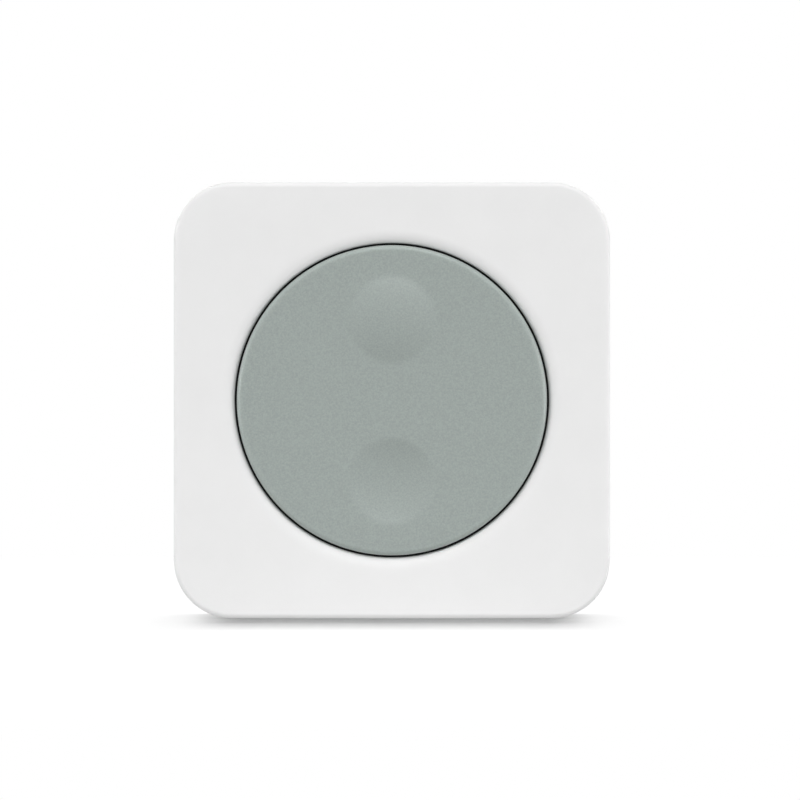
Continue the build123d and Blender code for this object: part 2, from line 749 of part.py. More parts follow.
for place, name in ((press_offset, "upper"), (-press_offset, "lower")):
    with BuildPart() as switch_base:
        with BuildSketch(at(board_front)):
            with Locations((0, place)):
                RectangleRounded(switch_size, switch_size, switch_corner_radius)
        extrude(amount=switch_height)
        with BuildSketch(at(cavity_floor)):
            with Locations((0, place)):
                Circle(switch_cavity_radius)
        extrude(amount=switch_top - cavity_floor, mode=Mode.SUBTRACT)
    switch_base.part.label = f"{name}_switch_base"
    export_step(switch_base.part, f"parts/{name}_switch_base.step")

    # The cover plate is clipped over the base by a tab at its top and bottom
    with BuildPart() as switch_cover:
        with BuildSketch(at(switch_top)):
            with Locations((0, place)):
                RectangleRounded(switch_size, switch_size, switch_corner_radius)
                Rectangle(switch_tab_width, switch_size + 2 * switch_cover_sheet)
                Circle(stem_radius + stem_clearance, mode=Mode.SUBTRACT)
        extrude(amount=switch_cover_sheet)
        with BuildSketch(at(switch_top)):
            with Locations((0, place)):
                Rectangle(switch_tab_width, switch_size + 2 * switch_cover_sheet)
                Rectangle(switch_tab_width, switch_size, mode=Mode.SUBTRACT)
        extrude(amount=-switch_tab_length)
    switch_cover.part.label = f"{name}_switch_cover"
    export_step(switch_cover.part, f"parts/{name}_switch_cover.step")

    with BuildPart() as switch_terminals:
        with BuildSketch(at(board_front)):
            with Locations((0, place)):
                with GridLocations(switch_size + terminal_length, terminal_spacing, 2, 2):
                    Rectangle(terminal_length, terminal_width)
        extrude(amount=terminal_sheet)
    switch_terminals.part.label = f"{name}_switch_terminals"
    export_step(switch_terminals.part, f"parts/{name}_switch_terminals.step")

    # The snap dome is a thin arched shell between the cavity's floor and the plunger's flange
    with BuildPart() as dome:
        with BuildSketch(Plane.YZ):
            with BuildLine():
                outer_rim = (-cavity_floor, place + dome_radius)
                outer_top = (-dome_top, place)
                crown = TangentArc(outer_top, outer_rim, tangent=(0, 1))
                foot = Line(crown @ 1, (-cavity_floor, place + dome_radius - dome_sheet))
                inner_top = (dome_sheet - dome_top, place)
                hollow = TangentArc(inner_top, foot @ 1, tangent=(0, 1))
                Line(hollow @ 0, crown @ 0)
            make_face()
        revolve(axis=Axis((0, 0, place), (0, 1, 0)))
    dome.part.label = f"{name}_dome"
    export_step(dome.part, f"parts/{name}_dome.step")

    with BuildPart() as plunger:
        with BuildSketch(at(flange_back)):
            with Locations((0, place)):
                Circle(flange_radius)
        extrude(amount=flange_thickness)
        with BuildSketch(at(flange_front)):
            with Locations((0, place)):
                Circle(stem_radius)
        extrude(amount=stem_top - flange_front)
    plunger.part.label = f"{name}_plunger"
    export_step(plunger.part, f"parts/{name}_plunger.step")

# Pairing key: a switch on the back of the board and a button through the back wall
pairing_switch_back = board_back - pairing_switch_height
pairing_stem_back = rear_back + pairing_recess
pairing_stem_front = pairing_switch_back - pairing_plunger_reach
pairing_flange_back = rear_front + pairing_flange_gap
pairing_plunger_front = board_back - pairing_switch_floor - pairing_travel - pairing_end_gap

with BuildPart() as pairing_switch:
    with BuildSketch(at(pairing_switch_back)):
        with Locations(pairing_place):
            Rectangle(pairing_switch_size, pairing_switch_size)
            Circle(pairing_plunger_radius + pairing_plunger_clearance, mode=Mode.SUBTRACT)
    extrude(amount=pairing_switch_height - pairing_switch_floor)
    with BuildSketch(at(board_back)):
        with Locations(pairing_place):
            Rectangle(pairing_switch_size, pairing_switch_size)
    extrude(amount=-pairing_switch_floor)
pairing_switch.part.label = "pairing_switch"
export_step(pairing_switch.part, "parts/pairing_switch.step")

with BuildPart() as pairing_plunger:
    with BuildSketch(at(pairing_stem_front)):
        with Locations(pairing_place):
            Circle(pairing_plunger_radius)
    extrude(amount=pairing_plunger_front - pairing_stem_front)
pairing_plunger.part.label = "pairing_plunger"
export_step(pairing_plunger.part, "parts/pairing_plunger.step")

with BuildPart() as pairing_button:
    with BuildSketch(at(pairing_stem_back)):
        with Locations(pairing_place):
            Circle(pairing_stem_radius)
    extrude(amount=pairing_stem_front - pairing_stem_back)
    chamfer(pairing_button.faces().sort_by(Axis.Y)[-1].edges(), pairing_recess)
    with BuildSketch(at(pairing_flange_back)):
        with Locations(pairing_place):
            Circle(pairing_flange_radius)
    extrude(amount=pairing_flange_thickness)
pairing_button.part.label = "pairing_button"
export_step(pairing_button.part, "parts/pairing_button.step")

# Rocker frame: a ribbed disc under the cap, with two pressing posts and two pivot lugs
post_tip = stem_top + post_gap
post_shoulder = post_tip + post_tip_radius - math.sqrt(post_tip_radius**2 - post_radius**2)

with BuildPart() as rocker_frame:
    with BuildSketch(at(frame_back)):
        Circle(frame_radius)
        with GridLocations(stake_spacing, stake_spacing, 2, 2):
            Circle(stake_radius + stake_clearance, mode=Mode.SUBTRACT)
    extrude(amount=frame_thickness)
    with BuildSketch(at(frame_back)):
        Circle(rib_radius + rib_width / 2)
        Circle(rib_radius - rib_width / 2, mode=Mode.SUBTRACT)
    extrude(amount=-rib_height)
    for place in (press_offset, -press_offset):
        with BuildSketch(Plane.YZ):
            with BuildLine():
                tip = TangentArc(
                    (-post_tip, place), (-post_shoulder, place + post_radius), tangent=(0, 1)
                )
                Polyline(
                    tip @ 1,
                    (-cap_back, place + post_radius),
                    (-cap_back, place),
                    tip @ 0,
                )
            make_face()
        revolve(axis=Axis((0, 0, place), (0, 1, 0)))
    for side in (1, -1):
        with BuildSketch(Plane.YZ.offset(side * pivot_lug_place)):
            with Locations((-(pivot_depth + cap_back) / 2, 0)):
                Rectangle(cap_back - pivot_depth, 2 * pivot_lug_radius)
            with Locations((-pivot_depth, 0)):
                Circle(pivot_lug_radius)
        extrude(amount=side * pivot_lug_width)
        with BuildSketch(Plane.YZ.offset(side * (pivot_lug_place - overrun))):
            with Locations((-pivot_depth, 0)):
                Circle(pin_radius + pin_clearance)
        extrude(amount=side * (pivot_lug_width + 2 * overrun), mode=Mode.SUBTRACT)
rocker_frame.part.label = "rocker_frame"
export_step(rocker_frame.part, "parts/rocker_frame.step")

# Button cap: a shallow round lid with a raised bump above and a hollow dimple below
# Both are one arc at the crown and one at the foot, tangent to each other and to the face
dot_slope = 2 * math.atan(dot_height / dot_radius)
arc_sum = dot_radius / math.sin(dot_slope)
foot_radius = dot_blend_share * arc_sum
foot_run = foot_radius * math.sin(dot_slope)
foot_rise = foot_radius * (1 - math.cos(dot_slope))

with BuildPart() as button_cap:
    with BuildSketch(at(skirt_back)):
        Circle(cap_radius)
    extrude(amount=cap_front - skirt_back)
    fillet(button_cap.faces().sort_by(Axis.Y)[0].edges(), cap_edge_radius)
    with BuildSketch(at(skirt_back)):
        Circle(cap_radius - skirt_wall)
    extrude(amount=skirt_length, mode=Mode.SUBTRACT)
    for side, way in ((1, Mode.ADD), (-1, Mode.SUBTRACT)):
        place = side * press_offset
        with BuildSketch(Plane.YZ):
            with BuildLine():
                rim = (-cap_front, place + dot_radius)
                knee = (-cap_front - side * foot_rise, place + dot_radius - foot_run)
                crest = (-cap_front - side * dot_height, place)
                foot = TangentArc(rim, knee, tangent=(0, -1))
                crown = TangentArc(foot @ 1, crest, tangent=foot % 1)
                Polyline(
                    crown @ 1,
                    (-cap_front + side * dot_height, place),
                    (-cap_front + side * dot_height, place + dot_radius),
                    foot @ 0,
                )
            make_face()
        revolve(axis=Axis((0, 0, place), (0, 1, 0)), mode=way)
    # Heat stakes pass through the rocker frame and end in flattened heads
    with BuildSketch(at(frame_back)):
        with GridLocations(stake_spacing, stake_spacing, 2, 2):
            Circle(stake_radius)
    extrude(amount=frame_thickness)
    with BuildSketch(at(frame_back - stake_head_height)):
        with GridLocations(stake_spacing, stake_spacing, 2, 2):
            Circle(stake_head_radius)
    extrude(amount=stake_head_height)
button_cap.part.label = "button_cap"
export_step(button_cap.part, "parts/button_cap.step")
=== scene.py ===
# %% [markdown]
# # A smart button, dressed in Blender
# The object is a wall button 65 mm square: a white frame with rounded corners, and in it a grey-green
# cap that rocks on two pins. One fingertip place on the cap is raised and one is hollow.
# The solid model is already made and comes in as a fixed frame. This lesson gives it its looks:
# smooth surfaces where a moulded edge catches light, and a finish for every piece, inside ones too.

import math

import bmesh
import bpy
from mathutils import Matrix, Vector


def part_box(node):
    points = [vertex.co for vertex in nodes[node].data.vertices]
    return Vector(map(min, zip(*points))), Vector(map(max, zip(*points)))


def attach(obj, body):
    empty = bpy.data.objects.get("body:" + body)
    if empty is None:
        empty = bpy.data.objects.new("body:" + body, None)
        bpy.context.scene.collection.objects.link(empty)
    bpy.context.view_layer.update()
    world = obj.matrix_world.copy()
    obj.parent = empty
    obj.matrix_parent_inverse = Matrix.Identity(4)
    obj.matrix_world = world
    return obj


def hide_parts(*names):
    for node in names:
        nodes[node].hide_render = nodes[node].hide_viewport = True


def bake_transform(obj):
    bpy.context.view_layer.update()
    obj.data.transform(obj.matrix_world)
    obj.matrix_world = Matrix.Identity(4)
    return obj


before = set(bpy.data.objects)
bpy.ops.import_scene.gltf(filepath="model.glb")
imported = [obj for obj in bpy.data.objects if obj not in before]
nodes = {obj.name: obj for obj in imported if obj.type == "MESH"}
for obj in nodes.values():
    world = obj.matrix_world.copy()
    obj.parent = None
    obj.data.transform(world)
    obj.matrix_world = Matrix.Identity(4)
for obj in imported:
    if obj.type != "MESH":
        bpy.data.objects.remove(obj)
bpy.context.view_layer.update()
mm = 0.001

# %% [markdown]
# ## Places along the depth
# The wall is the plane y = 0 and the button faces -Y, so a depth is a distance from the wall to the front.
# Reading the depths from the solids' own boxes keeps each new surface where its solid is.
# The rounded edges can't be read from a box, so they are written here, in metres.

# %% Read the sizes of the frame and the cap
def depths(node):
    low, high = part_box(node)
    return -high.y, -low.y


cover_back, cover_front = depths("front_cover")
cover_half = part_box("front_cover")[1].x
cap_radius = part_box("button_cap")[1].x
cover_corner = 8.65 * mm
edge_round = 0.75 * mm
lip_width = 1.95 * mm
lip_depth = 1.0 * mm
gap_round_cap = 0.36 * mm
opening_radius = cap_radius + gap_round_cap
front_wall_back = depths("chassis")[1]
print("frame from", round(cover_back / mm, 2), "to", round(cover_front / mm, 2), "mm off the wall")
print("cap radius", round(cap_radius / mm, 2), "mm")

# %% [markdown]
# ## Skinning rings
# A moulded shell is easiest to see as a profile that runs round the object. Each ring below is one closed
# loop of points at one depth, either a rounded square or a circle, and all rings have the same count,
# taken at the same angles. So one function can join any ring to the next with clean four-sided faces,
# also where the square frame turns into the round opening. A boolean cut would leave long thin faces.

# %% Rings and the skin between them
turns = 512


def round_ring(radius, depth, count=turns, centre=(0, 0)):
    step = math.tau / count
    return [
        Vector((centre[0] + radius * math.cos(i * step), -depth, centre[1] + radius * math.sin(i * step)))
        for i in range(count)
    ]


def square_ring(half, corner, depth, count=turns):
    """A rounded square, sampled where rays from its centre meet it."""
    ring = []
    inner = half - corner
    for i in range(count):
        angle = math.tau * i / count
        x, z = math.cos(angle), math.sin(angle)
        reach = half / max(abs(x), abs(z))
        if min(abs(x), abs(z)) * reach > inner:
            along = (abs(x) + abs(z)) * inner
            reach = along + math.sqrt(max(along * along - 2 * inner * inner + corner * corner, 0))
        ring.append(Vector((x * reach, -depth, z * reach)))
    return ring


def between(first, second, share):
    return [a.lerp(b, share) for a, b in zip(first, second)]


def skin(mesh, rings, loop=False):
    """Adds faces from ring to ring. A loop joins the last ring to the first, else both ends are closed."""
    made = [[mesh.verts.new(p) for p in ring] for ring in rings]
    pairs = list(zip(made, made[1:])) + ([(made[-1], made[0])] if loop else [])
    for a, b in pairs:
        for i in range(len(a)):
            j = (i + 1) % len(a)
            mesh.faces.new((a[i], a[j], b[j], b[i]))
    for ring in [] if loop else [made[0], made[-1]]:
        middle = mesh.verts.new(sum((v.co for v in ring), Vector()) / len(ring))
        for i in range(len(ring)):
            mesh.faces.new((ring[i], ring[(i + 1) % len(ring)], middle))


print("points in each ring of the frame:", turns)

# %% [markdown]
# ## From a mesh to a piece
# Every mesh gets the same treatment: its faces point outwards, its shading is smooth but stops at real
# edges, and it rides on the body that carries its solid. Done by hand, one step is soon forgotten, so one
# function does it all. It also notes the solids that the piece stands for, for the count at the end.

# %% Turn a mesh into a piece
sharp_angle = math.radians(35)
finished = set()


def into_scene(name, data):
    made = bpy.data.objects.new(name, data)
    bpy.context.scene.collection.objects.link(made)
    return made


def finish_piece(name, mesh, body, material, stands_for=()):
    """Turns a bmesh into a piece that rides on a body of the solid model, where one is given."""
    bmesh.ops.recalc_face_normals(mesh, faces=mesh.faces)
    data = bpy.data.meshes.new(name)
    mesh.to_mesh(data)
    mesh.free()
    data.shade_smooth()
    data.set_sharp_from_angle(angle=sharp_angle)
    piece = into_scene(name, data)
    data.materials.append(material)
    if body:
        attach(piece, body)
    if stands_for:
        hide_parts(*stands_for)
        finished.update(stands_for)
    print(name, "faces:", len(data.polygons))
    return piece


print("sharp edges from", round(math.degrees(sharp_angle)), "degrees")

# %% [markdown]
# ## White moulded plastic
# The frame is matte white plastic with the fine grain of a spark-eroded mould. It isn't pure white: its
# colour sits a little under the paper-white background. A photographed texture would show its pixels
# close up, so noises do the work. A fine one tilts the shading like grain, and slow ones change the
# colour and the gloss a little, as handling does.

# %% Tools for a finish and its grain
def new_finish(name, colour, roughness, **sockets):
    """A Principled material whose even values sit on the shader itself."""
    material = bpy.data.materials.new(name)
    material.use_nodes = True
    shader = material.node_tree.nodes["Principled BSDF"]
    shader.inputs["Base Color"].default_value = (*colour, 1)
    shader.inputs["Roughness"].default_value = roughness
    for socket, value in sockets.items():
        shader.inputs[socket.replace("_", " ")].default_value = value
    print("finish:", name)
    return material


def vector_math(tree, operation, source, factor=None):
    """A Vector Math node on one value, with a fixed second value where one is given."""
    node = tree.nodes.new("ShaderNodeVectorMath")
    node.operation = operation
    tree.links.new(source, node.inputs[0])
    if factor:
        node.inputs[1].default_value = factor
    return node


def noise(material, size, detail=2.0, stretch=(1, 1, 1)):
    """A noise whose blotches are about that size, in metres, fixed to the object."""
    tree = material.node_tree
    place = tree.nodes.new("ShaderNodeTexCoord").outputs["Object"]
    scaled = vector_math(tree, "MULTIPLY", place, [1 / (size * s) for s in stretch])
    made = tree.nodes.new("ShaderNodeTexNoise")
    made.inputs["Scale"].default_value = 1
    made.inputs["Detail"].default_value = detail
    tree.links.new(scaled.outputs["Vector"], made.inputs["Vector"])
    return made.outputs["Fac"]


def add_grain(material, height, size, detail=2.0, stretch=(1, 1, 1)):
    """Moves the shading normal by a noise, on top of any grain that is there already."""
    tree = material.node_tree
    shader = tree.nodes["Principled BSDF"]
    bump = tree.nodes.new("ShaderNodeBump")
    bump.inputs["Distance"].default_value = height
    tree.links.new(noise(material, size, detail, stretch), bump.inputs["Height"])
    if shader.inputs["Normal"].links:
        tree.links.new(shader.inputs["Normal"].links[0].from_socket, bump.inputs["Normal"])
    tree.links.new(bump.outputs["Normal"], shader.inputs["Normal"])


print("tools: a new finish, a noise and a grain")

# %% Tools for gloss and colour that wander
def remap(tree, value, start, end, low, high, smooth=False):
    """Carries a value from one range over to another, in a straight line or as a smooth step."""
    node = tree.nodes.new("ShaderNodeMapRange")
    if smooth:
        node.interpolation_type = "SMOOTHSTEP"
    for socket, number in (("From Min", start), ("From Max", end), ("To Min", low), ("To Max", high)):
        node.inputs[socket].default_value = number
    tree.links.new(value, node.inputs["Value"])
    return node.outputs["Result"]


usual_noise = (0.3, 0.7)


def vary_gloss(material, low, high, size):
    """Lets the roughness wander between two values, as a noise wanders through its usual range."""
    tree = material.node_tree
    spread = remap(tree, noise(material, size, 3), *usual_noise, low, high)
    tree.links.new(spread, tree.nodes["Principled BSDF"].inputs["Roughness"])


def vary_colour(material, first, second, size, detail=2.0, sharp=0.4):
    """Mottles between two colours; sharp is how narrow the step between them is, from 0 to 1."""
    tree = material.node_tree
    ramp = tree.nodes.new("ShaderNodeValToRGB")
    half = 0.5 * (1 - sharp)
    for stop, place, colour in zip(ramp.color_ramp.elements, (0.5 - half, 0.5 + half), (first, second)):
        stop.position = place
        stop.color = (*colour, 1)
    tree.links.new(noise(material, size, detail), ramp.inputs["Fac"])
    tree.links.new(ramp.outputs["Color"], tree.nodes["Principled BSDF"].inputs["Base Color"])


print("usual range of a noise:", usual_noise)

# %% White plastic
white_plastic = new_finish("white_casing_plastic", (0.8, 0.8, 0.8), 0.5)
vary_colour(white_plastic, (0.79, 0.79, 0.79), (0.81, 0.81, 0.81), 6 * mm)
vary_gloss(white_plastic, 0.46, 0.56, 9 * mm)
add_grain(white_plastic, 0.006 * mm, 0.28 * mm)

# %% [markdown]
# ## The frame
# On the real button the frame is one shell. Its outer edge has a tight rounding that shows as a thin
# bright line, and its opening has a soft rolled lip. The profile starts at the back edge, climbs the
# side, turns over the outer edge, crosses the flat face, rolls into the opening and returns inside.
# Extra rings hug each rounding, so that the flat face stays flat in the shading. A bevel could round a
# box, but would leave a seam where the square turns into the round opening.

# %% Build the frame
def edge_steps(count):
    return [math.pi / 2 * i / count for i in range(count + 1)]


back_round = 0.2 * mm
hug = 0.08 * mm
side_wall = 1.8 * mm
lip_radius = opening_radius + lip_width


def inset_square(inset, depth):
    return square_ring(cover_half - inset, cover_corner - inset, depth)


cover_rings = [
    inset_square(back_round * (1 - math.sin(a)), cover_back + back_round * (1 - math.cos(a)))
    for a in edge_steps(4)
]
cover_rings += [inset_square(0, d) for d in (cover_back + back_round + hug, cover_front - edge_round - hug)]
cover_rings += [
    inset_square(edge_round * (1 - math.cos(a)), cover_front - edge_round * (1 - math.sin(a)))
    for a in edge_steps(10)
]
face_outer = inset_square(edge_round + hug, cover_front)
face_inner = round_ring(lip_radius + hug, cover_front)
cover_rings += [between(face_outer, face_inner, i / 6) for i in range(7)]
cover_rings += [
    round_ring(lip_radius - lip_width * math.sin(a), cover_front - lip_depth * (1 - math.cos(a)))
    for a in edge_steps(18)
]
cover_rings += [round_ring(opening_radius, front_wall_back)]
inner_round = round_ring(opening_radius + hug, front_wall_back)
inner_square = inset_square(side_wall + hug, front_wall_back)
cover_rings += [between(inner_round, inner_square, i / 4) for i in range(5)]
cover_rings += [inset_square(side_wall, d) for d in (front_wall_back, cover_back)]

cover_mesh = bmesh.new()
skin(cover_mesh, cover_rings, loop=True)
print("rings in the frame:", len(cover_rings))

# %% [markdown]
# ## Screw bosses
# Four hollow posts inside the frame take the screws that hold the halves together. They don't show
# from outside, but the frame would be a lie without them. Each is a tube of rings of its own, sunk a
# little into the front wall: a boolean would join them too, but it would spoil the frame's clean rings.

# %% Add the bosses to the frame
four_ways = [(sx, sz) for sx in (1, -1) for sz in (1, -1)]
screw_head, head_to_boss = 1.9 * mm, 2.25 * mm
boss_radius, boss_hole, boss_sunk = 2.6 * mm, 0.92 * mm, 0.4 * mm
boss_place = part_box("housing_screws")[1].x - screw_head
boss_back = depths("housing_screws")[0] + head_to_boss
boss_root = front_wall_back + boss_sunk
boss_profile = [
    (boss_radius, boss_root), (boss_radius, boss_back), (boss_hole, boss_back), (boss_hole, boss_root),
]
for sx, sz in four_ways:
    spot = (sx * boss_place, sz * boss_place)
    skin(cover_mesh, [round_ring(r, d, 32, spot) for r, d in boss_profile], loop=True)
finish_piece(
    "front_frame", cover_mesh, "casing", white_plastic, stands_for=["front_cover"]
)

# %% [markdown]
# ## Soft-touch coating
# The cap has a grey-green rubbery coat, finely mottled, and a thin bright line of light runs round its rim.
# A noise mixes two close colours for the mottle, the colour is scaled up a little in the last millimetre
# before the rim as a painted highlight, and sheen adds the soft light that velvet has where it turns away.
# A picture of the colour would be the other way, but a noise stays sharp at any distance.

# %% The cap's finish
# Gain and span of the painted rim highlight: the colour is lightened towards the rim to stand in for light,
# not a paler coat.
rim_highlight_gain = 1.1
rim_highlight_start, rim_highlight_end = cap_radius - 1.2 * mm, cap_radius - 0.2 * mm
soft_coat = new_finish(
    "soft_touch_coat", (0.304, 0.338, 0.327), 0.6,
    Coat_Weight=0.4, Coat_Roughness=0.35, Sheen_Weight=0.6, Sheen_Roughness=0.3,
)
vary_colour(soft_coat, (0.242, 0.275, 0.261), (0.336, 0.382, 0.362), 0.23 * mm, 3.0, sharp=0.3)
tree = soft_coat.node_tree
shader = tree.nodes["Principled BSDF"]
place = tree.nodes.new("ShaderNodeTexCoord").outputs["Object"]
sideways = vector_math(tree, "MULTIPLY", place, (1, 0, 1)).outputs["Vector"]
from_middle = vector_math(tree, "LENGTH", sideways).outputs["Value"]
# Painted highlight: the base colour is scaled up by the distance from the cap's middle, near its rim.
painted_rim_highlight = remap(tree, from_middle, rim_highlight_start, rim_highlight_end, 1, rim_highlight_gain, smooth=True)
rim_highlight_colour = vector_math(tree, "SCALE", shader.inputs["Base Color"].links[0].from_socket)
tree.links.new(painted_rim_highlight, rim_highlight_colour.inputs["Scale"])
tree.links.new(rim_highlight_colour.outputs["Vector"], shader.inputs["Base Color"])
add_grain(soft_coat, 0.01 * mm, 0.3 * mm)

# %% [markdown]
# ## The cap
# The raised place is a shallow dome and the hollow one is the same dome turned inwards, each with a
# soft foot where it meets the flat. Sculpting them would leave dents, so the height of each point is
# worked out: one arc for the crown and one for the foot, tangent where they meet.

# %% Work out the two places
dot_place = 12.1 * mm
dot_radius = 6.9 * mm
dot_height = 1.0 * mm
foot_share = 0.14


def dot_rise(distance):
    """The height of a dome at a distance from its middle."""
    if distance >= dot_radius:
        return 0
    slope = 2 * math.atan(dot_height / dot_radius)
    arc_sum = dot_radius / math.sin(slope)
    if distance > dot_radius * (1 - foot_share):
        foot = foot_share * arc_sum
        return foot - math.sqrt(foot**2 - (dot_radius - distance) ** 2)
    crown = (1 - foot_share) * arc_sum
    return dot_height - crown + math.sqrt(crown**2 - distance**2)


def cap_face(point):
    x, z = point.x, point.z
    rise = dot_rise(math.hypot(x, z - dot_place)) - dot_rise(math.hypot(x, z + dot_place))
    return Vector((x, point.y - rise, z))


print("height in the middle of a place:", round(dot_rise(0) / mm, 2), "mm")

# %% Build the cap
cap_stands_out, stakes_reach = 0.3 * mm, 0.2 * mm
cap_front = cover_front + cap_stands_out
skirt_back = depths("button_cap")[0] + stakes_reach
cap_round, skirt_wall, cap_thickness = 0.75 * mm, 1.2 * mm, 1.6 * mm
cap_turns, face_rings = 384, 96
face_radius = cap_radius - cap_round
cap_rings = [
    [cap_face(p) for p in round_ring(face_radius * i / face_rings, cap_front, cap_turns)]
    for i in range(1, face_rings + 1)
]
cap_rings += [
    round_ring(
        cap_radius - cap_round * (1 - math.sin(a)), cap_front - cap_round * (1 - math.cos(a)), cap_turns
    )
    for a in edge_steps(10)[1:]
]
skirt_inner = cap_radius - skirt_wall
cap_back = cap_front - cap_thickness
cap_rings += [round_ring(cap_radius, cap_front - cap_round - hug, cap_turns)]
cap_rings += [round_ring(r, skirt_back, cap_turns) for r in (cap_radius, skirt_inner)]
cap_rings += [round_ring(skirt_inner, cap_back, cap_turns)]
cap_mesh = bmesh.new()
skin(cap_mesh, cap_rings)
print("rings in the cap:", len(cap_rings))

# %% [markdown]
# ## Heat stakes
# Four pegs at the back of the cap go through the rocker frame, and a hot tool has flattened their ends
# into low domes. That is how a cap is fixed on without glue or screws. They are moulded with the cap, so
# they go into its mesh.

# %% Add the stakes to the cap
stake_place = 13.506 * mm
head_back = depths("button_cap")[0]
shank, head = 0.8 * mm, 1.3 * mm
head_height, domed_share, shank_sunk = 0.4 * mm, 0.6, 0.2 * mm
for sx, sz in four_ways:
    spot = (sx * stake_place, sz * stake_place)
    rings = [
        round_ring(head * math.sin(a), head_back + head_height * domed_share * (1 - math.cos(a)), 48, spot)
        for a in edge_steps(6)[1:]
    ]
    rings += [round_ring(r, head_back + head_height, 48, spot) for r in (head, shank)]
    rings += [round_ring(shank, cap_back + shank_sunk, 48, spot)]
    skin(cap_mesh, rings)
finish_piece("rocking_cap", cap_mesh, "rocker", soft_coat, stands_for=["button_cap"])

# %% [markdown]
# ## Black mouldings
# The chassis, the rocker frame, the cell holder and the switch bases are black plastic. Only a dark ring
# of the chassis shows, in the gap round the cap. Black mouldings aren't a flat black: the fine grain and
# the small changes of gloss are what makes them look moulded.

# %% Black plastic
black_plastic = new_finish("black_moulding", (0.012, 0.012, 0.013), 0.5)
vary_colour(black_plastic, (0.01, 0.01, 0.011), (0.015, 0.015, 0.016), 3 * mm)
vary_gloss(black_plastic, 0.42, 0.58, 4 * mm)
add_grain(black_plastic, 0.004 * mm, 0.2 * mm)

# %% [markdown]
# ## Foam
# The wall plate sticks on with two pads of pale foam tape. Foam is a sponge of small bubbles, so its
# finish has two sizes of grain, one for the bubbles and one for the soft unevenness of the sheet.

# %% Foam tape
foam = new_finish(
    "adhesive_foam", (0.58, 0.58, 0.56), 0.95, Subsurface_Weight=0.15, Subsurface_Scale=0.4 * mm
)
vary_colour(foam, (0.52, 0.52, 0.5), (0.63, 0.63, 0.61), 0.35 * mm, 3)
add_grain(foam, 0.05 * mm, 0.3 * mm)
add_grain(foam, 0.04 * mm, 1.6 * mm)

# %% [markdown]
# ## Bare and plated metals
# The magnets are bright nickel, the keepers and screws are zinc with a bluish cloudiness, the cell is
# brushed stainless steel, the contacts are gold-flashed brass and the shield is tin. One function makes
# them all: a colour, a gloss that wanders, and marks that can be stretched into brush lines. Six separate
# materials by hand would drift apart.

# %% The metals
cloud_size, gloss_size = 2.5 * mm, 1.5 * mm


def metal(name, colour, cloud, gloss, mark_height, mark_size, stretch=(1, 1, 1)):
    """A metal whose colour wanders towards the cloud colour and whose gloss stays between two values."""
    made = new_finish(name, colour, gloss[0], Metallic=1.0)
    vary_colour(made, colour, cloud, cloud_size, 3)
    vary_gloss(made, *gloss, gloss_size)
    add_grain(made, mark_height, mark_size, 3, stretch)
    return made


nickel = metal("nickel_plating", (0.62, 0.62, 0.64), (0.55, 0.55, 0.58), (0.14, 0.24), 0.002 * mm, 0.5 * mm)
zinc = metal("zinc_plating", (0.56, 0.56, 0.57), (0.47, 0.49, 0.53), (0.3, 0.45), 0.004 * mm, 0.3 * mm)
screw_zinc = metal("screw_plating", (0.5, 0.5, 0.51), (0.42, 0.44, 0.47), (0.26, 0.4), 0.003 * mm, 0.12 * mm)
stainless = metal(
    "brushed_stainless", (0.63, 0.63, 0.64), (0.57, 0.57, 0.59), (0.24, 0.34),
    0.003 * mm, 0.06 * mm, stretch=(30, 30, 1),
)
gold_flash = metal(
    "gold_flash", (0.72, 0.6, 0.36), (0.66, 0.54, 0.3), (0.2, 0.32),
    0.002 * mm, 0.1 * mm, stretch=(1, 1, 8),
)
tin = metal("tin_plating", (0.66, 0.66, 0.67), (0.58, 0.58, 0.6), (0.28, 0.42), 0.003 * mm, 0.15 * mm)

# %% [markdown]
# ## The circuit board
# A board is glass cloth under a glossy green mask. The cloth shows faintly as two sets of fine ribs, one
# along and one across. Where copper runs under the mask the green is paler, so the runs get a finish of
# their own, and so does the white ink that outlines the parts.

# %% Solder mask, masked copper and ink
laminate = new_finish("solder_mask", (0.018, 0.12, 0.065), 0.3, Coat_Weight=0.6, Coat_Roughness=0.12)
vary_colour(laminate, (0.016, 0.11, 0.06), (0.022, 0.13, 0.072), 3 * mm, 2)
for stretch in ((12, 1, 1), (1, 1, 12)):
    add_grain(laminate, 0.004 * mm, 0.2 * mm, 2, stretch)
masked_copper = new_finish("masked_copper", (0.04, 0.2, 0.1), 0.28, Coat_Weight=0.6, Coat_Roughness=0.12)
vary_colour(masked_copper, (0.036, 0.185, 0.092), (0.046, 0.215, 0.11), 0.8 * mm, 2)
add_grain(masked_copper, 0.003 * mm, 0.12 * mm)
ink = new_finish("printed_ink", (0.66, 0.66, 0.63), 0.6)
vary_colour(ink, (0.6, 0.6, 0.57), (0.7, 0.7, 0.67), 0.3 * mm, 2)
add_grain(ink, 0.004 * mm, 0.08 * mm)

# %% [markdown]
# ## Small parts on the board
# The chip is black epoxy with a sandblasted top. The resistors and capacitors are ceramic, some tan and
# some nearly black. A blotch larger than one part, cut sharply, gives most parts one colour or the other.

# %% Chip, ceramic and lens
epoxy = new_finish("chip_epoxy", (0.02, 0.02, 0.022), 0.6)
vary_colour(epoxy, (0.016, 0.016, 0.018), (0.026, 0.026, 0.028), 0.1 * mm)
vary_gloss(epoxy, 0.5, 0.68, 0.8 * mm)
add_grain(epoxy, 0.01 * mm, 0.08 * mm)

ceramic = new_finish("fired_ceramic", (0.3, 0.22, 0.16), 0.4)
vary_colour(ceramic, (0.03, 0.03, 0.032), (0.42, 0.32, 0.22), 1.6 * mm, 0, sharp=0.92)
vary_gloss(ceramic, 0.3, 0.5, 0.4 * mm)
add_grain(ceramic, 0.004 * mm, 0.06 * mm)

